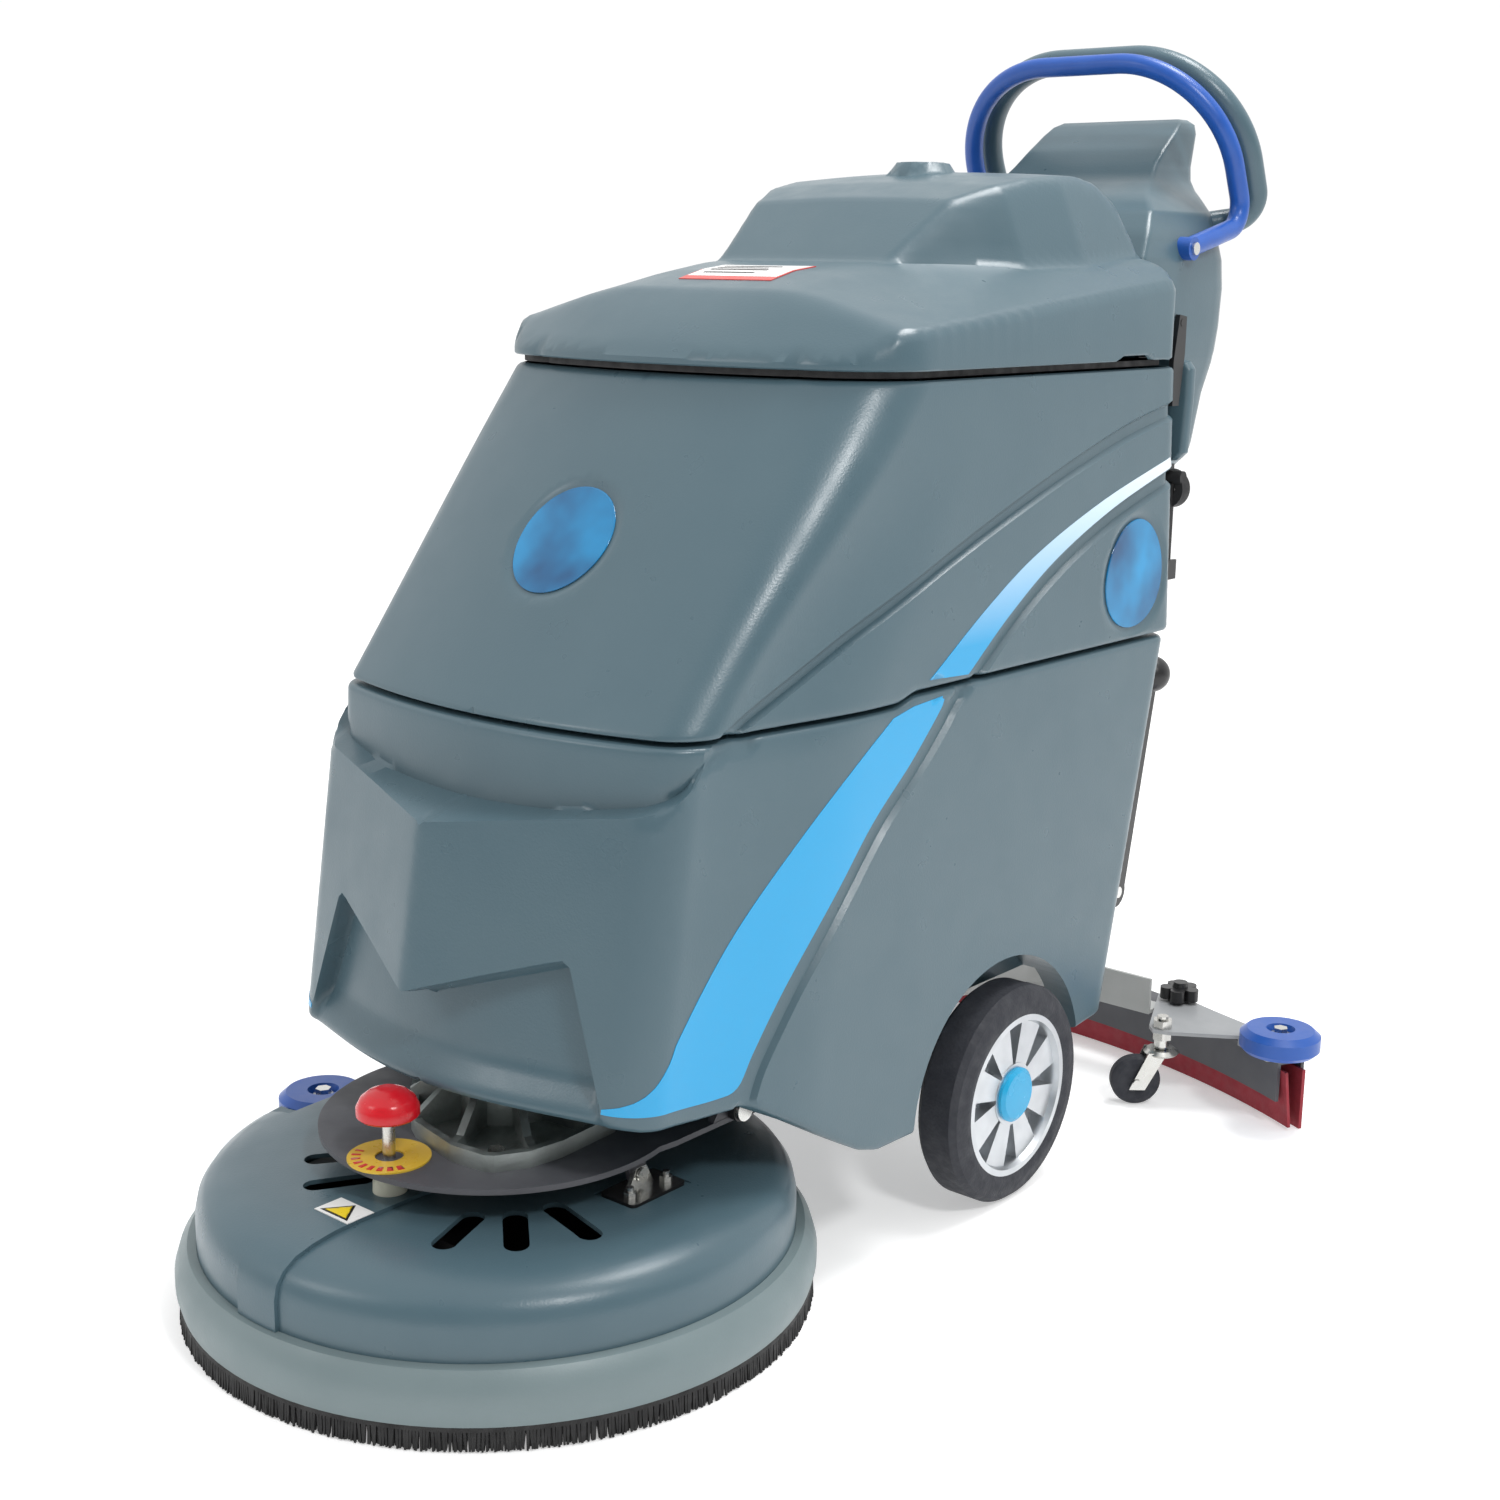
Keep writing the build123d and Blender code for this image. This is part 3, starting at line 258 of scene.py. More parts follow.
def moulded(name, colour, worn, roughness=(0.28, 0.4), grain=900, depth=0.00008):
    """Injection-moulded plastic with a light grain."""
    paint = Paint(name, colour, sum(roughness) / 2)
    paint.vary_colour(paint.noise(30, 3), worn, 0.7)
    paint.vary_rough(paint.noise(60, 2), *roughness)
    paint.bump(paint.noise(grain, 2), depth, 0.6)
    return paint.material


def metal(name, colour, worn, roughness=(0.25, 0.42), grain=400, depth=0.00006, stretch=None):
    paint = Paint(name, colour, sum(roughness) / 2, metallic=1.0)
    paint.vary_colour(paint.noise(24, 4), worn, 0.9)
    paint.vary_rough(paint.noise(70, 3, stretch), *roughness)
    paint.bump(paint.noise(grain, 3, stretch), depth, 0.6)
    return paint.material


def painted_steel(name, colour, worn, roughness=(0.35, 0.5)):
    """Powder coat on sheet steel, with a fine orange peel and dull patches."""
    paint = Paint(name, colour, sum(roughness) / 2)
    paint.vary_colour(paint.noise(18, 4), worn, 0.8)
    paint.vary_rough(paint.noise(40, 3), *roughness)
    paint.bump(paint.noise(700, 2), 0.0001, 0.5)
    return paint.material


def rubber(name, colour, dusty, grain=350, depth=0.0004):
    paint = Paint(name, colour, 0.75)
    paint.vary_colour(paint.noise(60, 5), dusty, 0.9)
    paint.vary_rough(paint.noise(90, 3), 0.6, 0.85)
    paint.bump(paint.voronoi(grain), depth, 0.7)
    return paint.material


def two_tone(paint, axis, low, high, other=(0.012, 0.012, 0.013)):
    """Zinc with a black stretch along one axis, between low and high metres."""
    mix = paint.tree.nodes.new("ShaderNodeMath")
    mix.operation = "MULTIPLY"
    paint.link(paint.between(axis, low - 0.0005, low), mix.inputs[0])
    paint.link(paint.between(axis, high, high - 0.0005), mix.inputs[1])
    blend = paint.tree.nodes.new("ShaderNodeMixShader")
    black = paint.tree.nodes.new("ShaderNodeBsdfPrincipled")
    black.inputs["Base Color"].default_value = (*other, 1)
    black.inputs["Roughness"].default_value = 0.38
    paint.link(mix.outputs[0], blend.inputs[0])
    paint.link(paint.shader.outputs[0], blend.inputs[1])
    paint.link(black.outputs[0], blend.inputs[2])
    paint.link(blend.outputs[0], paint.tree.nodes["Material Output"].inputs["Surface"])
    return paint.material


def palette():
    """Every finish on the machine, by the record's material slot."""
    finishes = {
        "body_plastic": orange_peel("body_plastic", (0.066, 0.117, 0.144), (0.074, 0.126, 0.152),
                                    (0.27, 0.37)),
        "ring_plastic": orange_peel("ring_plastic", (0.175, 0.228, 0.238), (0.152, 0.202, 0.212),
                                    (0.38, 0.52)),
        "blue_plastic": moulded("blue_plastic", (0.012, 0.080, 0.370), (0.018, 0.100, 0.420)),
        "black_plastic": moulded("black_plastic", (0.012, 0.012, 0.013), (0.022, 0.022, 0.023)),
        "black_rubber": rubber("black_rubber", (0.011, 0.011, 0.012), (0.024, 0.024, 0.025), 600, 0.0002),
        "tyre_rubber": rubber("tyre_rubber", (0.020, 0.022, 0.030), (0.034, 0.036, 0.044)),
        "cap_plastic": moulded("cap_plastic", (0.010, 0.330, 0.600), (0.015, 0.380, 0.660), (0.2, 0.3)),
        "rim_metal": metal("rim_metal", (0.62, 0.64, 0.66), (0.52, 0.54, 0.56), (0.32, 0.48)),
        "cast_aluminium": metal("cast_aluminium", (0.42, 0.46, 0.45), (0.30, 0.33, 0.32), (0.45, 0.65),
                                260, 0.0005),
        "motor_steel": painted_steel("motor_steel", (0.014, 0.014, 0.016), (0.026, 0.026, 0.028)),
        "plate_steel": painted_steel("plate_steel", (0.085, 0.087, 0.098), (0.068, 0.069, 0.078),
                                     (0.4, 0.55)),
        "light_steel": painted_steel("light_steel", (0.46, 0.47, 0.46), (0.38, 0.39, 0.38)),
        "zinc_steel": metal("zinc_steel", (0.66, 0.66, 0.64), (0.55, 0.54, 0.50), (0.18, 0.34)),
        "knob_red": moulded("knob_red", (0.560, 0.006, 0.014), (0.640, 0.010, 0.020), (0.18, 0.28)),
        "dial_yellow": moulded("dial_yellow", (0.780, 0.520, 0.050), (0.700, 0.450, 0.040), (0.25, 0.35)),
        "nylon_white": moulded("nylon_white", (0.700, 0.700, 0.580), (0.620, 0.620, 0.500), (0.4, 0.55)),
        "button_green": moulded("button_green", (0.010, 0.200, 0.060), (0.015, 0.240, 0.080), (0.2, 0.3)),
        "blade_red": rubber("blade_red", (0.330, 0.026, 0.040), (0.270, 0.024, 0.036), 500, 0.0002),
        "bristle_black": rubber("bristle_black", (0.008, 0.008, 0.009), (0.018, 0.018, 0.018), 900, 0.0003),
        "pad_fibre": rubber("pad_fibre", (0.160, 0.012, 0.010), (0.240, 0.024, 0.018), 260, 0.0015),
    }
    # black plates under zinc nuts on the deck, and black lugs and latches behind the tanks
    for name, low, high in (("hinge_black", 0.126, 0.1297), ("fittings_black", 0.5, 0.9)):
        finishes[name] = two_tone(Paint(name, (0.66, 0.66, 0.64), 0.26, 1.0), "Z", low, high)
    finishes["outrigger_grey"] = painted_steel("outrigger_grey", (0.33, 0.34, 0.35), (0.28, 0.29, 0.30))
    decal = {
        "stripe_blue": Paint("stripe_blue", (0.016, 0.330, 0.640), 0.16),
        "label_white": Paint("label_white", (0.80, 0.80, 0.79), 0.3),
        "label_red": Paint("label_red", (0.62, 0.05, 0.04), 0.3),
        "label_black": Paint("label_black", (0.012, 0.012, 0.012), 0.3),
        "label_yellow": Paint("label_yellow", (0.84, 0.62, 0.02), 0.3),
    }
    decal["stripe_fading"] = Paint("stripe_fading", (0.016, 0.330, 0.640), 0.16)
    decal["stripe_fading"].by_height(0.56, 0.72, (0.86, 0.93, 0.97))
    for name, paint in decal.items():
        low = 0.07 if name.startswith("stripe") else 0.22
        paint.vary_rough(paint.noise(35, 3), low, low + 0.12)
        paint.bump(paint.noise(16, 1), 0.003, 0.10)
        finishes[name] = paint.material
    return finishes


# ---------------------------------------------------------------- mesh tools
def build(name, points, faces, body, finish, replaces=(), smooth_angle=32):
    """Piece from millimetre points; rides on a body and takes a finish."""
    return dress(name, raw_mesh(name, points, faces), body, finish, replaces, smooth_angle)


def raw_mesh(name, points, faces):
    """Mesh from millimetre points."""
    mesh = bpy.data.meshes.new(name)
    mesh.from_pydata([tuple(p) for p in place(points)], [], [tuple(int(i) for i in f) for f in faces])
    heal(mesh)
    return mesh


def heal(mesh):
    """Joins points that coincide and turns every face outwards."""
    bm = bmesh.new()
    bm.from_mesh(mesh)
    bmesh.ops.remove_doubles(bm, verts=bm.verts, dist=2e-6)
    bmesh.ops.recalc_face_normals(bm, faces=bm.faces)
    bm.to_mesh(mesh)
    bm.free()


def dress(name, mesh, body, finish, replaces=(), smooth_angle=32):
    """Object from a mesh, healed, shaded, finished and riding on a body."""
    heal(mesh)
    mesh.shade_smooth()
    mesh.set_sharp_from_angle(angle=math.radians(smooth_angle))
    obj = bpy.data.objects.new(name, mesh)
    bpy.context.scene.collection.objects.link(obj)
    mesh.materials.append(FINISH[finish])
    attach(obj, body)
    if replaces:
        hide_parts(*replaces)
    return obj


def soften(node):
    """Smooth shading across the CAD faces, with the real edges kept crisp."""
    if node.data.has_custom_normals:
        with bpy.context.temp_override(object=node, active_object=node, selected_objects=[node]):
            bpy.ops.mesh.customdata_custom_splitnormals_clear()
    node.data.shade_smooth()
    weld = node.modifiers.new("weld", "WELD")
    weld.merge_threshold = 0.00002
    split = node.modifiers.new("split", "EDGE_SPLIT")
    split.split_angle = math.radians(28)


def curve_through(points, step=4.0):
    """Even points along a smooth Catmull-Rom line through the given ones."""
    p = np.asarray(points, float)
    ext = np.vstack([2 * p[0] - p[1], p, 2 * p[-1] - p[-2]])
    out = []
    for i in range(1, len(ext) - 2):
        a, b, c, d = ext[i - 1:i + 3]
        n = max(2, int(np.linalg.norm(c - b) / step))
        for u in np.arange(n) / n:
            out.append(0.5 * (2 * b + (c - a) * u + (2 * a - 5 * b + 4 * c - d) * u * u
                              + (3 * b - a - 3 * c + d) * u ** 3))
    out.append(p[-1])
    return np.array(out)


def beside(line, distance):
    """Line carried sideways; positive is to the left of its direction."""
    d = np.gradient(line, axis=0)
    d /= np.maximum(np.linalg.norm(d, axis=1), 1e-9)[:, None]
    return line + distance * np.c_[-d[:, 1], d[:, 0]]


def line_distance(points, line):
    """Distance of 2-D points from a polyline."""
    best = np.full(len(points), 1e9)
    for a, b in zip(line[:-1], line[1:]):
        ab = b - a
        u = np.clip(((points - a) @ ab) / max(ab @ ab, 1e-12), 0, 1)
        best = np.minimum(best, np.linalg.norm(points - a - u[:, None] * ab, axis=1))
    return best


def within(points, outline):
    """Which 2-D points lie inside a closed outline."""
    points = np.asarray(points, float)
    hit = np.zeros(len(points), bool)
    for a, b in zip(outline, np.roll(outline, -1, axis=0)):
        spans = (a[1] > points[:, 1]) != (b[1] > points[:, 1])
        if spans.any():
            cross = a[0] + (points[:, 1] - a[1]) * (b[0] - a[0]) / (b[1] - a[1] if b[1] != a[1] else 1)
            hit ^= spans & (points[:, 0] < cross)
    return hit


def along(outline, step):
    """Closed outline cut into short even steps, keeping its corners."""
    out = []
    for a, b in zip(outline, np.roll(outline, -1, axis=0)):
        n = max(1, int(round(np.linalg.norm(b - a) / step)))
        out += [a + (b - a) * i / n for i in range(n)]
    return np.array(out)


CLEAR = 0.55                              # smallest gap between mesh points, as a share of the step


def filled(points, edges, outline):
    """Triangles between points, kept where they lie inside the outline."""
    got, _, faces, ids, _, _ = delaunay_2d_cdt(points, edges, [], 0, 1e-4, True)
    flat = np.array([tuple(p) for p in got])
    middles = flat[np.array(faces)].mean(axis=1)
    return got, [f for f, keep in zip(faces, within(middles, outline)) if keep], ids


def carpet(outline, lines, step):
    """Triangles over a closed 2-D outline that follow the given lines: (points, faces, rim indices)."""
    rim = [Vector(p) for p in outline]
    points = list(rim)
    edges = [(i, (i + 1) % len(rim)) for i in range(len(rim))]
    for line in lines:
        start = len(points)
        points += [Vector(p) for p in line]
        edges += [(i, i + 1) for i in range(start, len(points) - 1)]
    tree = KDTree(len(points))
    for i, p in enumerate(points):
        tree.insert((p[0], p[1], 0), i)
    tree.balance()
    low, high = np.min(outline, axis=0), np.max(outline, axis=0)
    rows = int((high[1] - low[1]) / (step * 0.866)) + 1
    grid = np.array([(x, low[1] + r * step * 0.866) for r in range(rows)
                     for x in np.arange(low[0] + (r % 2) * step / 2, high[0], step)])
    for x, y in grid[within(grid, np.asarray(outline))]:
        if tree.find((x, y, 0))[2] > CLEAR * step:
            points.append(Vector((x, y)))
    got, faces, ids = filled(points, edges, np.asarray(outline))
    source = {}
    for i, olds in enumerate(ids):
        for old in olds:
            source[old] = i
    return np.array([tuple(p) for p in got]), faces, [source[i] for i in range(len(rim))]


def cap(points, loop):
    """Triangles over a loop of points seen from above."""
    flat = [Vector((points[i][0], points[i][1])) for i in loop]
    edges = [(i, (i + 1) % len(flat)) for i in range(len(flat))]
    _, faces, ids = filled(flat, edges, np.array([tuple(p) for p in flat]))
    return [[loop[ids[i][0]] for i in f] for f in faces]


def rounded(corners, radii, n=5):
    """Closed outline with its corners rounded by arcs of n + 1 points."""
    out = []
    count = len(corners)
    for i in range(count):
        p = np.array(corners[i], float)
        a = np.array(corners[i - 1], float) - p
        b = np.array(corners[(i + 1) % count], float) - p
        la, lb = np.linalg.norm(a), np.linalg.norm(b)
        a, b = a / la, b / lb
        half = math.acos(np.clip(a @ b, -1, 1)) / 2
        if half > PI / 2 - 0.01:
            out += [p + (b - a) * (k / n - 0.5) * min(la, lb) * 0.2 for k in range(n + 1)]
            continue
        cut = min(radii[i] / math.tan(half), la * 0.48, lb * 0.48)
        r = cut * math.tan(half)
        centre = p + (a + b) / np.linalg.norm(a + b) * r / math.sin(half)
        start, end = p + a * cut - centre, p + b * cut - centre
        turn = math.atan2(start[0] * end[1] - start[1] * end[0], start @ end)
        for k in range(n + 1):
            c, s = math.cos(turn * k / n), math.sin(turn * k / n)
            out.append(centre + (c * start[0] - s * start[1], s * start[0] + c * start[1]))
    return np.array(out)


def loft(sections):
    """Rings of equal length joined into a closed skin."""
    n = len(sections[0])
    points = np.vstack(sections)
    faces = []
    for r in range(len(sections) - 1):
        for i in range(n):
            j = (i + 1) % n
            faces.append((r * n + i, r * n + j, (r + 1) * n + j, (r + 1) * n + i))
    faces.append(tuple(range(n))[::-1])
    faces.append(tuple(range((len(sections) - 1) * n, len(sections) * n)))
    return points, faces


def cutter(name, points, faces):
    obj = bpy.data.objects.new(name, raw_mesh(name, points, faces))
    bpy.context.scene.collection.objects.link(obj)
    return obj


def box_cutter(name, x0, x1, y0, y1, z0, z1):
    corners = [(x, y, z) for z in (z0, z1) for y in (y0, y1) for x in (x0, x1)]
    sides = [(0, 2, 3, 1), (4, 5, 7, 6), (0, 1, 5, 4), (2, 6, 7, 3), (0, 4, 6, 2), (1, 3, 7, 5)]
    return cutter(name, corners, sides)


def round_cutter(name, centre, axis, a0, a1, r, n=72):
    """Cylinder along X or Z."""
    rings = []
    for a in (a0, a1):
        angles = np.arange(n) * 2 * PI / n
        u, v = centre[0] + r * np.cos(angles), centre[1] + r * np.sin(angles)
        w = np.full(n, a)
        rings.append(np.c_[w, u, v] if axis == "X" else np.c_[u, v, w])
    points, faces = loft(rings)
    return cutter(name, points, faces)


def carved(mesh, cutters):
    """Mesh with the cutters taken away."""
    obj = bpy.data.objects.new("carving", mesh)
    bpy.context.scene.collection.objects.link(obj)
    for tool in cutters:
        step = obj.modifiers.new("cut", "BOOLEAN")
        step.operation = "DIFFERENCE"
        step.solver = "EXACT"
        step.object = tool
    depsgraph = bpy.context.evaluated_depsgraph_get()
    result = bpy.data.meshes.new_from_object(obj.evaluated_get(depsgraph))
    for old in [obj, *cutters]:
        bpy.data.objects.remove(old)
    return result


# ---------------------------------------------------------------- tank skins
HALF = 235.0                              # half width of the tanks
REAR_R = 28.0                             # rear corner's radius in plan
FLAT = 190.0                              # front's share of the girth, from the middle
TURN = 66.0                               # front corner's share
SIDE = 600.0
BACK_TURN = REAR_R * PI / 2
GIRTH = FLAT + TURN + SIDE + BACK_TURN + HALF - REAR_R
WALL = 6.0
WALL_STEP = 6.0                           # mesh size of the tank walls
WARNING_AT, WARNING_Z = (3.0, -176.0), 131.5
SEAM = 520.0
JOG_Y = (250.0, 285.0)                    # the seam steps up on the side
JOG = 7.0


def seam_front(x):
    return -30 + 34 * (x / 200) ** 2


def nose_half(z):
    """Half width just behind the front corner; the sides flare out from there."""
    return 214 + 21 * smooth((z - 530) / 240)


def nose_radius(z):
    return 32 + 20 * smooth((z - 540) / 240)


class Skin:
    """Wall of a tank by girth t from the middle of its front, and height z."""

    def __init__(self, front, rear):
        self.front, self.rear = front, rear

    def ends(self, z):
        """Where the side starts and ends in Y."""
        t = np.full_like(z, FLAT + TURN)
        return self.front(nose_half(z), z, t) + nose_radius(z), self.rear(z) - REAR_R

    def __call__(self, t, z):
        t, z = np.asarray(t, float), np.asarray(z, float)
        half, r = nose_half(z), nose_radius(z)
        a = np.clip((t - FLAT) / TURN, 0, 1) * PI / 2
        x = np.minimum(t, FLAT) * (half - r) / FLAT + r * np.sin(a)
        y = self.front(x, z, t) + r * (1 - np.cos(a))
        y0, y1 = self.ends(z)
        s = (t - FLAT - TURN) / SIDE
        y = np.where(s > 0, y0 + np.clip(s, 0, 1) * (y1 - y0), y)
        x = x + (HALF - half) * smooth(np.clip(s, 0, 1) * 600 / 170)
        b = np.clip((t - FLAT - TURN - SIDE) / BACK_TURN, 0, 1) * PI / 2
        x = x - REAR_R * (1 - np.cos(b)) - np.maximum(t - (GIRTH - HALF + REAR_R), 0)
        return np.c_[x, y + REAR_R * np.sin(b), z]

    def girth(self, y, z):
        """Girth of a point of the side."""
        y, z = np.asarray(y, float), np.asarray(z, float)
        y0, y1 = self.ends(z)
        lead = self.front(nose_half(z) - 8, z, np.full_like(z, FLAT + TURN / 2))
        a = np.arccos(np.clip(1 - (y - lead) / nose_radius(z), -1, 1))
        corner = FLAT + TURN * np.clip(a / (PI / 2), 0, 1)
        return np.where(y < y0, corner, FLAT + TURN + SIDE * (y - y0) / (y1 - y0))

    def outward(self, t, z):
        """Level unit normal."""
        d = 1.5
        a, b = self(np.maximum(t - d, 0), z), self(np.minimum(t + d, GIRTH), z)
        n = np.c_[b[:, 1] - a[:, 1], a[:, 0] - b[:, 0], np.zeros(len(a))]
        n[np.asarray(t) < 1e-6] = (0, -1, 0)
        n[np.asarray(t) > GIRTH - 1e-6] = (0, 1, 0)
        return n / np.linalg.norm(n, axis=1)[:, None]

    def line(self, side_points, step=4.0):
        """Smooth line through side points (y, z), in girth and height."""
        path = curve_through(side_points, step)
        return np.c_[self.girth(path[:, 0], path[:, 1]), path[:, 1]]


def channel(distance, floor, wide, depth):
    """Depth of a soft-edged channel at a distance from its middle."""
    return -depth * (1 - smooth((distance - floor) / (wide - floor)))


def edge_round(distance, r):
    """How far a rounded edge stands back, at a distance from the edge."""
    d = np.clip(r - distance, 0, r)
    return -(r - np.sqrt(np.maximum(r * r - d * d, 0)))


def mirrored_pair(points, faces):
    """The left half and its mirror image."""
    other = points * np.array([-1, 1, 1])
    n = len(points)
    return np.vstack([points, other]), list(faces) + [[i + n for i in f][::-1] for f in faces]


GROOVE_FLOOR, GROOVE_WIDE = 5.5, 9.5
UPPER_GROOVE = [(50, 519), (66, 529), (129, 558), (190, 587), (257, 615), (323, 641), (406, 671), (512, 706),
                (620, 737), (719, 757), (745, 763)]
UPPER_RIB = [(368, 522), (381, 537), (444, 582), (520, 624), (610, 660), (718, 690), (745, 697)]
LOWER_RIB = [(358, 529), (293, 467), (237, 421), (186, 367), (150, 327), (123, 296), (98, 262), (80, 234),
             (68, 205)]
BADGE_FRONT = (0.0, 659.0)                # girth and height
BADGE_SIDE = (646.0, 596.0)               # y and height
BADGE_R = 54.0
SLOPE = math.hypot(1, 218 / 275)          # length of the raked front for each unit of height


def upper_front(x, z, _):
    return seam_front(x) + (z - SEAM) * 218 / 275


def upper_rear(z):
    return 735 - (z - SEAM) * 17 / 275


def jog(y):
    return JOG * smooth((y - JOG_Y[0]) / (JOG_Y[1] - JOG_Y[0]))


def seam_line(skin, height, step=5.0):
    """Seam from the middle of the front round to the middle of the back."""
    t = np.linspace(0, GIRTH, int(GIRTH / step))
    y = skin(t, np.full_like(t, height))[:, 1]
    return np.c_[t, height + jog(y)]


def circle_line(centre, radius, squash=1.0, n=56):
    a = np.linspace(0, 2 * PI, n + 1)
    return np.c_[centre[0] + radius * np.cos(a), centre[1] + radius * np.sin(a) / squash]


def badge_places(skin):
    """Centre of each badge in girth and height, with the wall's rake there."""
    y, z = BADGE_SIDE
    return [(BADGE_FRONT, SLOPE), ((float(skin.girth([y], [z])[0]), z), 1.0)]


def upper_relief(skin, tz):
    """Outward shift of the upper tank's wall: grooves, badge seats and rounded edges."""
    t, z = tz[:, 0], tz[:, 1]
    shift = np.zeros(len(t))
    groove, rib = skin.line(UPPER_GROOVE), skin.line(UPPER_RIB)
    fade = 1 - 0.25 * smooth((t - 330) / 450)
    shift += channel(line_distance(tz, groove), GROOVE_FLOOR, GROOVE_WIDE, 6.0) * fade
    shift += channel(line_distance(tz, rib), GROOVE_FLOOR, GROOVE_WIDE, 5.0)
    for (ct, cz), squash in badge_places(skin):
        r = np.hypot(t - ct, (z - cz) * squash)
        shift += channel(r, BADGE_R + 2, BADGE_R + 9, 3.0)
    y = skin(t, z)[:, 1]
    shift += edge_round(z - (SEAM + 3 + jog(y)), 5)
    shift += edge_round(796 - z, 5)
    return shift


def wall_mesh(skin, outline, lines, relief):
    """Half of a tank wall as points, faces and the indices of its rim."""
    tz, faces, rim = carpet(outline, lines, WALL_STEP)
    t, z = np.clip(tz[:, 0], 0, GIRTH), tz[:, 1]
    xyz = skin(t, z) + skin.outward(t, z) * relief(tz)[:, None]
    xyz[t < 1e-6, 0] = 0
    xyz[t > GIRTH - 1e-6, 0] = 0
    return xyz, faces, rim


def upper_tank():
    skin = Skin(upper_front, upper_rear)
    top = 796.0
    bottom = seam_line(skin, SEAM + 3)
    rim_top = np.c_[np.linspace(GIRTH, 0, int(GIRTH / 5)), np.full(int(GIRTH / 5), top)]
    rise = np.linspace(bottom[-1][1], top, 46)[1:-1]
    fall = np.linspace(top, bottom[0][1], 46)[1:-1]
    outline = np.vstack([bottom, np.c_[np.full(44, GIRTH), rise], rim_top, np.c_[np.zeros(44), fall]])
    groove, rib = skin.line(UPPER_GROOVE), skin.line(UPPER_RIB)
    lines = []
    for base in (groove, rib):
        for d in (-GROOVE_WIDE, -7.5, -GROOVE_FLOOR, GROOVE_FLOOR, 7.5, GROOVE_WIDE):
            line = beside(base, d)
            lines.append(line[(line[:, 1] > SEAM + 8) & (line[:, 0] < GIRTH - 215)])
    for (ct, cz), squash in badge_places(skin):
        for r in (BADGE_R + 2, BADGE_R + 5.5, BADGE_R + 9):
            ring = circle_line((ct, cz), r, squash)
            lines.append(ring[ring[:, 0] > 1.0])
    for d in (1.2, 3.2, 5.5):
        lines.append(bottom[1:-1] + (0, d))
        lines.append(rim_top[1:-1] - (0, d))
    xyz, faces, rim = wall_mesh(skin, outline, lines, lambda p: upper_relief(skin, p))
    # inner wall and floor hang from the top rim
    n_low, n_up, n_top = len(bottom), 44, len(rim_top)
    top_ids = rim[n_low + n_up:n_low + n_up + n_top]
    t_top = np.array([outline[n_low + n_up + i][0] for i in range(n_top)])
    rings = [top_ids]
    points = [xyz]
    count = len(xyz)
    for height, inset in ((top, WALL), (700.0, WALL), (600.0, WALL), (SEAM + 14, WALL)):
        z = np.full(n_top, height)
        row = skin(t_top, z) - skin.outward(t_top, z) * inset
        row[0, 0] = row[-1, 0] = 0
        points.append(row)
        rings.append(list(range(count, count + n_top)))
        count += n_top
    faces = [list(f) for f in faces]
    for a, b in zip(rings[:-1], rings[1:]):
        faces += [[a[i], b[i], b[i + 1], a[i + 1]] for i in range(n_top - 1)]
    points, faces = mirrored_pair(np.vstack(points), faces)
    half = count
    low = [rim[i] for i in range(n_low)]
    ring_out = low + [i + half for i in low[::-1]][1:-1]
    inner = rings[-1]
    ring_in = inner + [i + half for i in inner[::-1]][1:-1]
    faces += cap(points, ring_out) + cap(points, ring_in)
    return build("recovery_tank_shell", points, faces, "chassis", "body_plastic", ["recovery_tank"])


# lower tank: a band under the seam, a ledge, a keeled prow and a recess below it
def band_front(x, z):
    return seam_front(x) - 1 + 0.05 * (z - 516)


def prow_front(x, z):
    keel = -84 - 0.171 * (442 - z)
    flank = -14 - 0.15 * (472 - z)
    reach = np.sqrt(x * x + 16) - 4
    return keel + (flank - keel) * reach / 205


def chin_front(x):
    return -93 + 57 * (x / 200) ** 2 - 17 * (x / 200) ** 4


def recess_front(x, z):
    return chin_front(x) + 0.16 * (z - 218) + 12 * smooth((z - 222) / 30)


# the ledge's upper and lower line and the recess's edge, in girth and height
BAND_LOW = curve_through([(0, 455), (100, 459), (160, 467), (195, 474), (218, 484), (232, 500), (243, 519)])
PROW_TOP = curve_through([(0, 442), (100, 455), (195, 467), (222, 473), (243, 487), (262, 506), (274, 519)])
RECESS = [(0, 302), (70, 325), (134, 345), (143, 347), (150, 342), (165, 300), (180, 258), (192, 224),
          (196, 214)]


def over(line, x):
    line = np.asarray(line, float)
    return np.interp(x, line[:, 0], line[:, 1])


def lower_front(x, z, t):
    """Front of the lower tank; t tells the corner from the flat front."""
    high, low = over(BAND_LOW, t), over(PROW_TOP, t)
    share = np.clip((z - low) / np.maximum(high - low, 4), 0, 1)
    prow = prow_front(x, z)
    here = np.c_[np.atleast_1d(t), np.atleast_1d(z)]
    depth = line_distance(here, np.asarray(RECESS, float))
    inside = (z < over(RECESS, t)) & (t < RECESS[-1][0])
    k = np.where(inside, smooth(depth / 8), 0)
    prow = prow * (1 - k) + np.maximum(recess_front(x, z), prow) * k
    foot = smooth((228 - z) / 14)
    prow = prow * (1 - foot) + np.maximum(prow, chin_front(np.minimum(x, 200))) * foot
    return band_front(x, z) * share + prow * (1 - share)


def lower_rear(z):
    return np.interp(z, [141, SEAM], [637, 724])


LOWER_EDGE = [(-60, 217), (20, 208), (60, 207), (78, 203), (144, 165), (218, 122), (243, 114), (315, 112),
              (600, 140), (609, 141)]


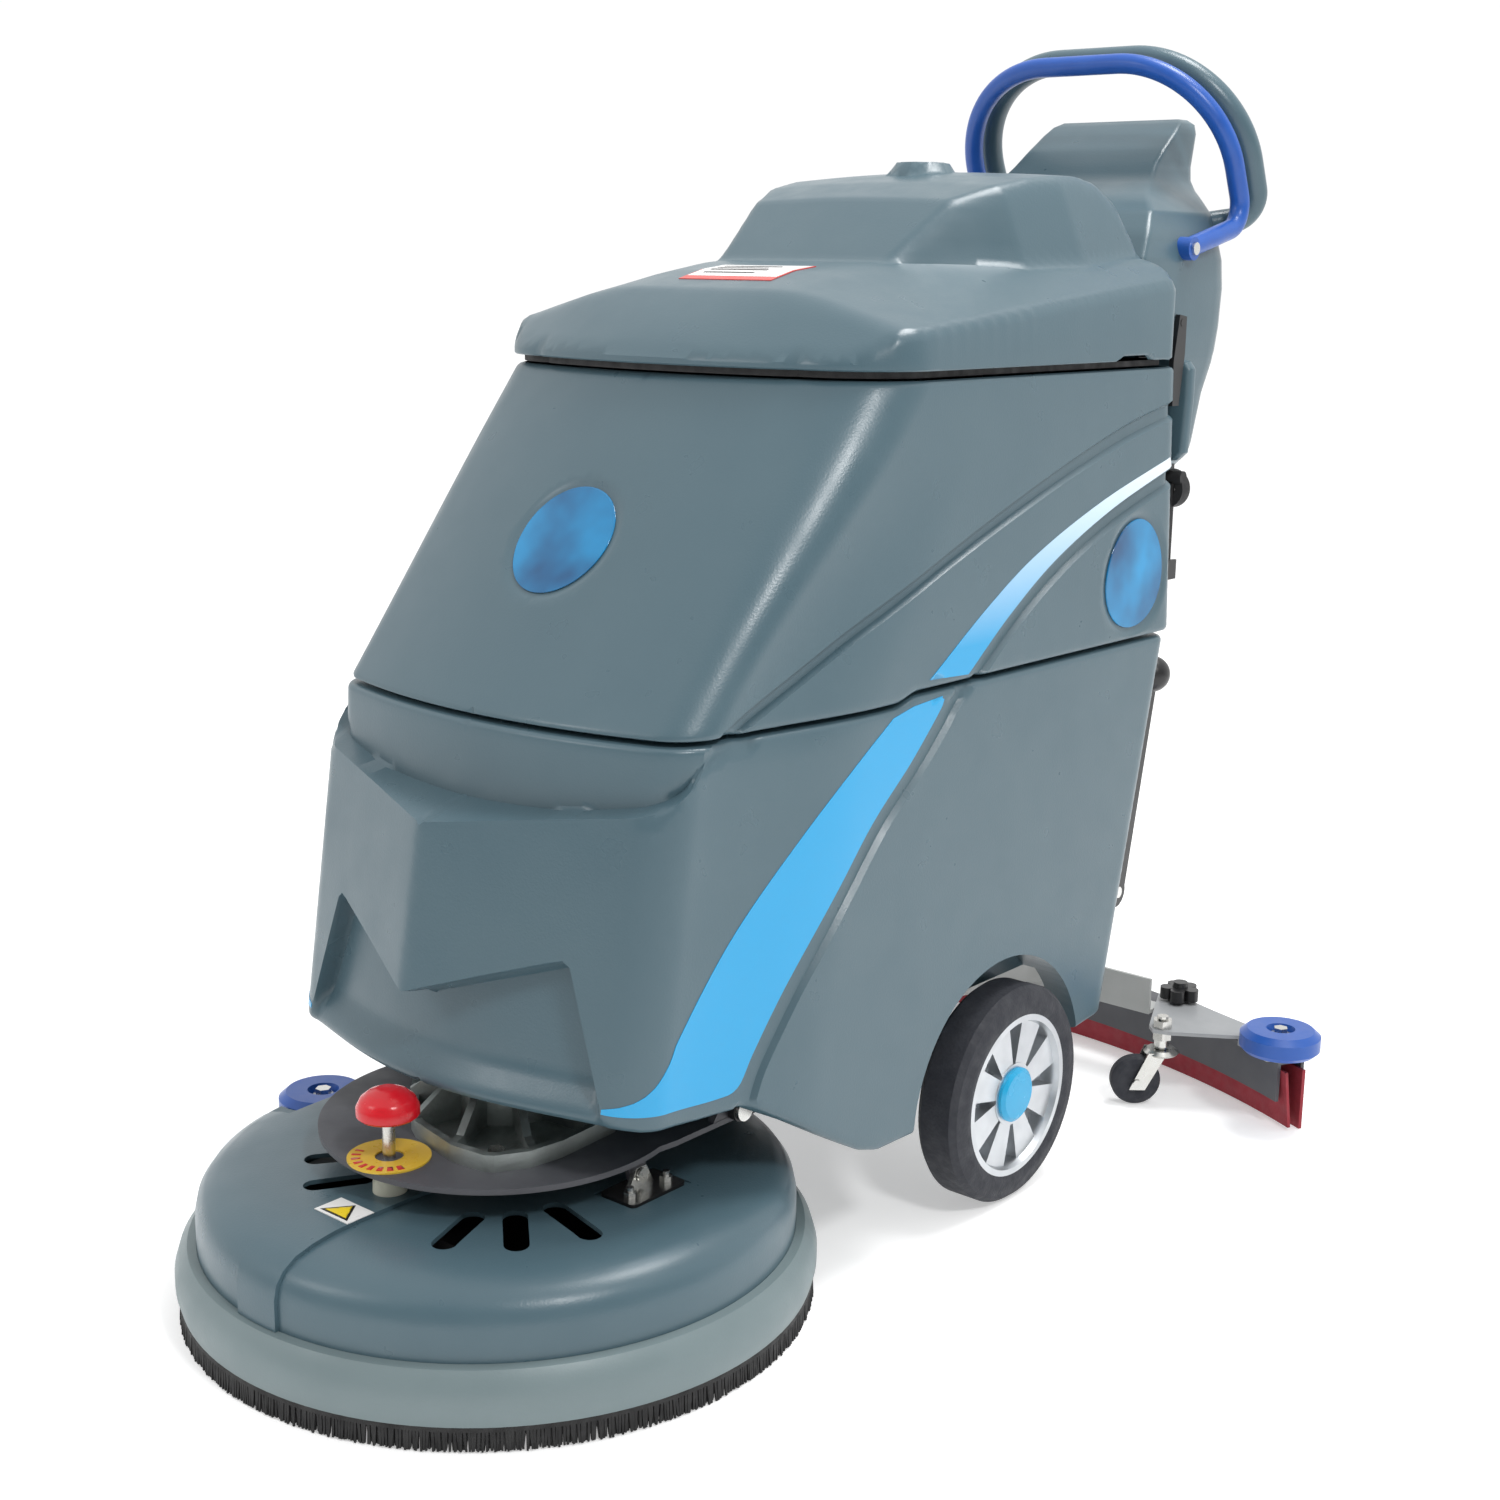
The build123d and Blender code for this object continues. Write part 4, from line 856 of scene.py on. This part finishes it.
def lower_relief(skin, tz, top_line, bottom_line):
    t, z = tz[:, 0], tz[:, 1]
    shift = channel(line_distance(tz, skin.line(LOWER_RIB)), GROOVE_FLOOR, GROOVE_WIDE, 4.5)
    # the upper tank's groove runs on down to the ledge
    middle = (over(BAND_LOW, t) + over(PROW_TOP, t)) / 2
    run = smooth((t - 185) / 30) * (t < 300)
    shift += channel(np.abs(z - middle) * 0.72, 4.0, 9.0, 3.5) * run
    shift += edge_round(over(top_line, t) - z, 5)
    shift += edge_round(line_distance(tz, bottom_line), 6)
    return shift


def solution_tank():
    skin = Skin(lower_front, lower_rear)
    top_line = seam_line(skin, SEAM - 1)
    edge = np.array(LOWER_EDGE, float)
    side = np.c_[skin.girth(edge[:, 0], edge[:, 1]), edge[:, 1]]
    edge = np.vstack([[(0, 217)], side, [(GIRTH, 141)]])
    # even steps along the bottom, so that the rim matches the wall's mesh
    steps = np.linspace(0, GIRTH, 190)
    bottom = np.c_[steps, over(edge, steps)]
    rise = np.linspace(bottom[-1][1], top_line[-1][1], 64)[1:-1]
    fall = np.linspace(top_line[0][1], bottom[0][1], 54)[1:-1]
    outline = np.vstack([bottom, np.c_[np.full(62, GIRTH), rise], top_line[::-1], np.c_[np.zeros(52), fall]])
    lines = []
    rib = skin.line(LOWER_RIB)
    for d in (-GROOVE_WIDE, -7.5, -GROOVE_FLOOR, GROOVE_FLOOR, 7.5, GROOVE_WIDE):
        line = beside(rib, d)
        lines.append(line[(line[:, 1] < 514) & (line[:, 1] > over(bottom, line[:, 0]) + 8)])
    for path, shifts in ((BAND_LOW, (0, 3)), (PROW_TOP, (-3, 0)), (RECESS, (0, 2.5, 5.5, 9))):
        base = along(np.array(path, float), 4)[:-1] if path is RECESS else path
        base = base[:np.argmax(base[:, 0]) + 1]
        for d in shifts:
            line = beside(base, -d if path is RECESS else d)
            lines.append(line[(line[:, 0] > 0.8) & (line[:, 1] < 512) & (line[:, 1] > 226)])
    for d in (1.2, 3.2, 5.5):
        lines.append(top_line[1:-1] - (0, d))
        lines.append(bottom[1:-1] + (0, d))
    xyz, faces, rim = wall_mesh(skin, outline, lines, lambda p: lower_relief(skin, p, top_line, bottom))
    points, faces = mirrored_pair(xyz, [list(f) for f in faces])
    half = len(xyz)
    low = rim[:len(bottom)]
    high = rim[len(bottom) + 62:len(bottom) + 62 + len(top_line)]
    for loop in (low, high):
        faces += cap(points, loop + [i + half for i in loop[::-1]][1:-1])
    mesh = raw_mesh("solution_tank_shell", points, faces)
    tools = [box_cutter("tunnel", -206, 206, 15, 800, 60, 206),
             round_cutter("well_foot", (0, 8), "Z", 90, 228, 86),
             round_cutter("well", (0, 8), "Z", 90, 392, 71),
             round_cutter("arch_left", (438, 105), "X", 192, 300, 142),
             round_cutter("arch_right", (438, 105), "X", -300, -192, 142)]
    mesh = carved(mesh, tools)
    mesh.name = "solution_tank_shell"
    return dress("solution_tank_shell", mesh, "chassis", "body_plastic", ["solution_tank"],
                 36)


# ---------------------------------------------------------------- decals
def both_faces(faces, rim, n):
    """Faces of a thin sheet: its top, its underside n points on, and the edge between."""
    top = [list(f) for f in faces]
    under = [[i + n for i in f][::-1] for f in faces]
    edge = [[a, b, b + n, a + n] for a, b in zip(rim, rim[1:] + rim[:1])]
    return top + under + edge


def patch(name, skin, outline, lift, finish, relief=None, step=7.0, side=1, body="chassis"):
    """Thin label on a tank wall, outline in girth and height."""
    tz, faces, rim = carpet(along(np.asarray(outline, float), step * 0.8), [], step)
    t, z = tz[:, 0], tz[:, 1]
    away = relief(tz) if relief else np.zeros(len(t))
    signs = np.array([side, 1, 1])
    top = (skin(np.abs(t), z) + skin.outward(np.abs(t), z) * (away + lift)[:, None])
    under = top - skin.outward(np.abs(t), z) * (lift + 0.3)
    flip = np.where(t < 0, -1, 1)[:, None] * np.array([[1, 0, 0]]) + np.array([[0, 1, 1]])
    points = np.vstack([top * flip, under * flip]) * signs
    return build(name, points, both_faces(faces, rim, len(tz)), body, finish)


def stripes():
    low, up = Skin(lower_front, lower_rear), Skin(upper_front, upper_rear)
    front_low = [(246, 512), (191, 476), (131, 428), (59, 360), (-1, 288), (-30, 250), (-52, 234), (-60, 230)]
    rear_low = [(-14, 226), (36, 223), (60, 227), (77, 253), (102, 289), (128, 322), (171, 371), (220, 424),
                (273, 468), (318, 512), (318, 519)]
    front_up = [(700, 707), (574, 673), (463, 633), (384, 592), (298, 538)]
    rear_up = [(357, 535), (422, 582), (496, 625), (592, 664), (706, 698)]
    for side, word in ((1, "left"), (-1, "right")):
        top_low = low.line([(318, 521), (275, 518)], 6)
        outline = np.vstack([low.line(front_low, 6), low.line(rear_low, 6), top_low])
        patch("stripe_lower_" + word, low, outline, 0.5, "stripe_blue", side=side)
        outline = np.vstack([up.line(front_up, 6), up.line(rear_up, 6)])
        patch("stripe_upper_" + word, up, outline, 0.5, "stripe_fading", side=side)


def badge_finish():
    """Glossy blue with paler clouds, and no lettering."""
    paint = Paint("badge_blue", (0.006, 0.040, 0.130), 0.12)
    paint.vary_colour(paint.noise(11, 3), (0.010, 0.270, 0.560), 1.0)
    paint.vary_rough(paint.noise(40, 2), 0.05, 0.14)
    return paint.material


def badges():
    up = Skin(upper_front, upper_rear)
    FINISH["badge_blue"] = badge_finish()

    def sunk(tz):
        return np.full(len(tz), -3.0)

    def dome(name, centre, squash, side):
        outline = circle_line(centre, BADGE_R, squash)[:-1]
        obj = patch(name, up, outline, 1.6, "badge_blue", sunk, 6.0, side)
        bevel = obj.modifiers.new("rim", "BEVEL")
        bevel.width = 0.0008
        bevel.segments = 2

    front, beside_wheel = badge_places(up)
    dome("badge_front", *front, 1)
    for side, word in ((1, "left"), (-1, "right")):
        dome("badge_side_" + word, *beside_wheel, side)


# ---------------------------------------------------------------- lid
LID_LOW, LID_REAR, LID_HALF = 804.0, 709.0, 236.5
LID_SKIN = 6.0


def lid_lip(x):
    return 181 + 38 * (x / 200) ** 2


def lid_height(x, y):
    """Top of the lid: raked front, falling sides and the hump at the back."""
    ax = np.abs(x)
    middle = np.interp(y, [180, 200, 257, 319, 383, 700], [814, 834, 868, 884, 892, 900])
    front = 813 + 0.86 * (y - lid_lip(np.minimum(ax, 215)))
    crease = 832 + (y - 221) * 0.094
    side = crease + (LID_HALF - ax) * (0.36 + 0.24 * (y - 383) / 300)
    base = soft_min(soft_min(middle, side, 11), front, 9)
    wide = np.interp(y, [380, 430, 520, 600, 720], [96, 122, 172, 188, 190])
    ridge = np.interp(y, [300, 383, 473, 520, 560, 600, 640, 668, 690, 702, 712],
                      [806, 884, 953, 969, 977, 981, 982, 977, 962, 930, 880])
    flank = 890 + (wide - ax) * 2.4
    crown = ridge - 9 * (ax / 190) ** 2
    hump = soft_min(crown, flank, 17)
    boss = 981 + 9 * smooth((33 - np.hypot(x, y - 590)) / 7)
    hump = np.where(np.hypot(x, y - 590) < 33, np.maximum(hump, boss), hump)
    return soft_max(base, hump, 4)


def lid_outline(inset=0.0, n=16):
    """Plan of the lid, anticlockwise from the rear right."""
    half = LID_HALF - inset
    r = 84 - inset * 0.6
    rear_r = 26.0
    rear = LID_REAR - inset
    out = []
    lead = lid_lip(half - r) + inset
    for k in range(n + 1):
        a = PI / 2 * k / n
        out.append((half - rear_r + rear_r * math.cos(a), rear - rear_r + rear_r * math.sin(a)))
    left = [(-x, y) for x, y in out[::-1]]
    front = []
    for k in range(n + 1):
        a = PI + PI / 2 * k / n
        front.append((-half + r + r * math.cos(a), lead + r + r * math.sin(a) * 0.96))
    middle = [(x, lid_lip(x) + inset) for x in np.linspace(-(half - r), half - r, 41)[1:-1]]
    right = [(-x, y) for x, y in front[::-1]]
    return np.array(out + left + front + middle + right)


def lid():
    outline = along(lid_outline(), 7)
    centre = np.array([0, 450.0])
    xy, faces, rim = carpet(outline, [], 6.0)
    z = lid_height(xy[:, 0], xy[:, 1])
    gap = line_distance(xy, np.vstack([outline, outline[:1]]))
    top = np.c_[xy, np.maximum(z + edge_round(gap, 9), LID_LOW + 6)]
    # the wall drops from the top's rim to a lip, then the inside follows 4 mm under the top
    ring = outline
    inward = (centre - ring) / np.linalg.norm(centre - ring, axis=1)[:, None]
    rings = []
    # finger gap in the lip, on each side
    start, end = smooth((ring[:, 1] - 590) / 6), smooth((ring[:, 1] - 650) / 6)
    lift = 5.0 * start * (1 - end) * (np.abs(ring[:, 0]) > 230)
    for inset, height in ((0.0, LID_LOW + 3), (0.0, LID_LOW + 1.2), (1.2, LID_LOW), (6.0, LID_LOW),
                          (7.0, LID_LOW + 4)):
        row = ring + inward * inset
        rings.append(np.c_[row, np.full(len(row), height) + lift])
    n_top = len(top)
    points = [top]
    count = n_top
    loops = [list(rim)]
    for row in rings:
        points.append(row)
        loops.append(list(range(count, count + len(row))))
        count += len(row)
    under_xy = ring + inward * 7.5
    under = np.c_[under_xy, np.maximum(lid_height(under_xy[:, 0], under_xy[:, 1]) - 10, LID_LOW + 5)]
    points.append(under)
    loops.append(list(range(count, count + len(under))))
    count += len(under)
    uxy, ufaces, urim = carpet(under_xy, [], 14.0)
    uz = lid_height(uxy[:, 0], uxy[:, 1]) - LID_SKIN
    inside = np.c_[uxy, np.maximum(uz, LID_LOW + 5)]
    for i, j in enumerate(urim):
        inside[j] = under[i]
    points.append(inside)
    faces = [list(f) for f in faces]
    m = len(ring)
    for a, b in zip(loops[:-1], loops[1:]):
        faces += [[a[i], b[i], b[(i + 1) % m], a[(i + 1) % m]] for i in range(m)]
    faces += [[i + count for i in f][::-1] for f in ufaces]
    hinge = lid_knuckles()
    points = np.vstack(points)
    for extra_points, extra_faces in hinge:
        base = len(points)
        points = np.vstack([points, extra_points])
        faces += [[i + base for i in f] for f in extra_faces]
    return build("lid_shell", points, faces, "lid", "body_plastic", ["recovery_lid"], 40)


def lid_knuckles():
    """Two hinge knuckles at the back of the lid."""
    hinge_y, hinge_z = 733.0, 838.0
    out = []
    for s in SIDES:
        outer = rounded([(700, 820), (hinge_y, hinge_z - 8), (hinge_y + 8, hinge_z), (hinge_y, hinge_z + 8),
                         (700, 858)], [2, 7, 7, 7, 2])
        rings = [np.c_[np.full(len(outer), s * 200 + dx), outer] for dx in (-16, 16)]
        out.append(loft(rings))
    return out


def gasket():
    """Rubber seal that follows the lid's edge a little inside it."""
    sections = []
    for inset, z in ((9, 803.5), (9, 798), (15, 798), (15, 803.5)):
        ring = along(lid_outline(inset), 1000)
        sections.append(np.c_[ring, np.full(len(ring), z)])
    n = len(sections[0])
    points = np.vstack(sections)
    faces = [(a * n + i, a * n + (i + 1) % n, b * n + (i + 1) % n, b * n + i)
             for a, b in ((0, 1), (1, 2), (2, 3), (3, 0)) for i in range(n)]
    build("lid_seal", points, faces, "lid", "black_rubber", ["lid_gasket"])


def sheet(name, outline, height, lift, finish, body, step=4.0):
    """Thin label that lies on a surface given by its height over the plan."""
    xy, faces, rim = carpet(along(np.asarray(outline, float), step), [], step)
    z = height(xy[:, 0], xy[:, 1])
    points = np.vstack([np.c_[xy, z + lift], np.c_[xy, z + lift - 0.8]])
    return build(name, points, both_faces(faces, rim, len(xy)), body, finish)


def rectangle(x0, x1, y0, y1):
    return [(x0, y0), (x1, y0), (x1, y1), (x0, y1)]


def lid_label():
    """Instruction label: red rim, white field and plain grey bars in place of print."""
    sheet("label_lid_rim", rectangle(-52, 58, 286, 350), lid_height, 0.7, "label_red", "lid")
    sheet("label_lid_field", rectangle(-50, 56, 296, 348), lid_height, 1.0, "label_white", "lid")
    for row in range(4):
        y = 306 + row * 10
        sheet("label_lid_bar_%d" % row, rectangle(-40, 20 + 8 * (row % 2), y, y + 3), lid_height, 1.3,
              "label_black", "lid")


# ---------------------------------------------------------------- console
def console():
    """Column and head as a stack of rounded sections, with wings beside the tank."""
    #         z   front  rear  half  wing  round
    table = [(666, 800, 886, 118, 0, 40), (676, 766, 902, 140, 0, 44), (690, 748, 914, 152, 0, 46),
             (700, 745, 918, 156, 60, 46), (708, 744, 920, 157, 68, 46), (760, 744, 930, 162, 66, 50),
             (792, 744, 942, 166, 62, 52), (799, 745, 944, 167, 55, 54), (803, 746, 946, 167, 6, 54),
             (830, 746, 952, 168, 0, 56), (870, 746, 957, 168, 0, 58), (900, 749, 958, 165, 0, 58),
             (925, 768, 957, 158, 0, 58), (948, 792, 960, 146, 0, 56), (962, 816, 966, 128, 0, 50),
             (974, 846, 972, 110, 0, 44), (985, 874, 979, 98, 0, 38), (1000, 892, 986, 92, 0, 34),
             (1018, 915, 992, 89, 0, 30), (1036, 941, 997, 86, 0, 26), (1046, 956, 997, 82, 0, 22),
             (1051, 966, 992, 74, 0, 16)]
    heights = [row[0] for row in table]
    fine = np.unique(np.concatenate([np.array(heights, float), np.arange(668, 1050, 6.0)]))
    fine = fine[np.concatenate([[True], np.diff(fine) > 1.5])]
    columns = [np.interp(fine, heights, [row[k] for row in table]) for k in range(1, 6)]
    sections = []
    for z, y0, y1, half, wing, r in zip(fine, *columns):
        w = half + wing
        corner = min(r, (y1 - y0) * 0.45)
        front_r = 6 + (corner - 8) * (1 - min(wing / 40, 1)) * 0.6
        tip, root = y0 + min(13, (y1 - y0) * 0.2), y0 + min(58, (y1 - y0) * 0.45)
        left = [(w, y0), (w, tip), (half, root), (half, y1)]
        points = left + [(-x, y) for x, y in left[::-1]]
        ring = rounded(points, [front_r, 8, 24, corner, corner, 24, 8, front_r], 6)
        sections.append(np.c_[ring, np.full(len(ring), z)])
    points, faces = loft(sections)
    mesh = raw_mesh("console_shell", points, faces)
    lo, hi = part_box("control_panel")
    tools = [box_cutter("panel_seat", -79, 79, 880, 1100, lo.z * 1000 - 1, hi.z * 1000 + 1),
             round_cutter("motor_room", (0, 836), "Z", 700, 856, 70),
             box_cutter("controller_room", -72, 72, 870, 905, 780, 880)]
    mesh = carved(mesh, tools)
    return dress("console_shell", mesh, "chassis", "body_plastic", ["console_column"], 38)


# ---------------------------------------------------------------- deck marks
def warning_label():
    """Yellow label with a plain black triangle on the deck cover's flute."""
    def top(x, _):
        return np.full(np.shape(x), WARNING_Z)

    cx, cy = WARNING_AT
    field = rectangle(cx - 21, cx + 21, cy - 14, cy + 14)
    black = [(cx - 17, cy - 11), (cx + 17, cy - 11), (cx, cy + 12)]
    yellow = [(cx - 13, cy - 9), (cx + 13, cy - 9), (cx, cy + 8.5)]
    sheet("label_warning_field", field, top, 0.5, "label_white", "deck_housing")
    sheet("label_warning_black", black, top, 0.8, "label_black", "deck_housing", 2.0)
    sheet("label_warning_yellow", yellow, top, 1.1, "label_yellow", "deck_housing", 2.0)


def dial_marks():
    """Red scale marks round the front of the tilt dial."""
    lo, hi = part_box("tilt_dial")
    cx, cy = (lo.x + hi.x) * 500, (lo.y + hi.y) * 500 - AXIS_Y * 1000
    radius, top = (hi.x - lo.x) * 500, hi.z * 1000

    def face(x, _):
        return np.full(np.shape(x), top)

    inner, outer = radius * 0.68, radius * 0.9
    for i in range(9):
        a = PI * (1.12 + 0.76 * i / 8)
        wide = 0.045 + 0.006 * i
        corners = ((inner, -wide), (outer, -wide), (outer, wide), (inner, wide))
        outline = [(cx + r * math.cos(a + w), cy + r * math.sin(a + w)) for r, w in corners]
        sheet("dial_mark_%d" % i, outline, face, 0.35, "label_red", "deck_carrier", 2.0)


# ---------------------------------------------------------------- bristles
def bristles():
    """Skirt of trimmed bristle tufts under the splash ring."""
    lo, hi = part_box("bristle_skirt")
    top, low, radius = hi.z * 1000, lo.z * 1000, 275.5
    rng = np.random.default_rng(7)
    points, faces = [], []
    tufts, rows = 620, 3
    for row in range(rows):
        for i in range(tufts):
            a = 2 * PI * (i + row / rows + rng.uniform(-0.2, 0.2)) / tufts
            r = radius + (row - 1) * 1.5
            lean, out = rng.uniform(-1.6, 1.6), rng.uniform(-0.3, 1.4)
            tip = low + rng.uniform(0.0, 1.6)
            wide, deep = 1.15, 0.8
            base = len(points)
            for z, w, shift, off in ((top, wide, 0, 0), ((top + tip) / 2, wide * 0.95, lean * 0.4, out * 0.4),
                                     (tip, wide * 0.7, lean, out)):
                for du, dv in ((-w, -deep), (w, -deep), (w, deep), (-w, deep)):
                    rr, aa = r + off + dv, a + (shift + du) / r
                    points.append((rr * math.cos(aa), rr * math.sin(aa), z))
            for k in (0, 4):
                faces += [(base + k + j, base + k + (j + 1) % 4, base + k + 4 + (j + 1) % 4, base + k + 4 + j)
                          for j in range(4)]
            faces.append((base, base + 3, base + 2, base + 1))
            faces.append((base + 8, base + 9, base + 10, base + 11))
    # the channel that holds the tufts
    angles = np.arange(160) * 2 * PI / 160
    profile = [(273.2, top), (273.2, top - 4), (278.0, top - 4), (278.0, top)]
    base = len(points)
    for a in angles:
        points += [(r * math.cos(a), r * math.sin(a), z) for r, z in profile]
    for i in range(len(angles)):
        j = (i + 1) % len(angles)
        faces += [(base + i * 4 + k, base + i * 4 + (k + 1) % 4, base + j * 4 + (k + 1) % 4, base + j * 4 + k)
                  for k in range(4)]
    return build("bristle_tufts", points, faces, "deck_housing", "bristle_black", ["bristle_skirt"])


# ---------------------------------------------------------------- make everything
camera()
studio()
FINISH = palette()
for part in frame["record"]["subparts"]:
    node = NODES[part["node"]]
    node.data.materials.clear()
    node.data.materials.append(FINISH[part["material_slot"]])
    soften(node)
for name, finish in (("hinge_brackets", "hinge_black"), ("body_fittings", "fittings_black"),
                     ("caster_outriggers", "outrigger_grey")):
    NODES[name].data.materials[0] = FINISH[finish]
upper_tank()
solution_tank()
stripes()
badges()
lid()
gasket()
lid_label()
console()
warning_label()
dial_marks()
bristles()
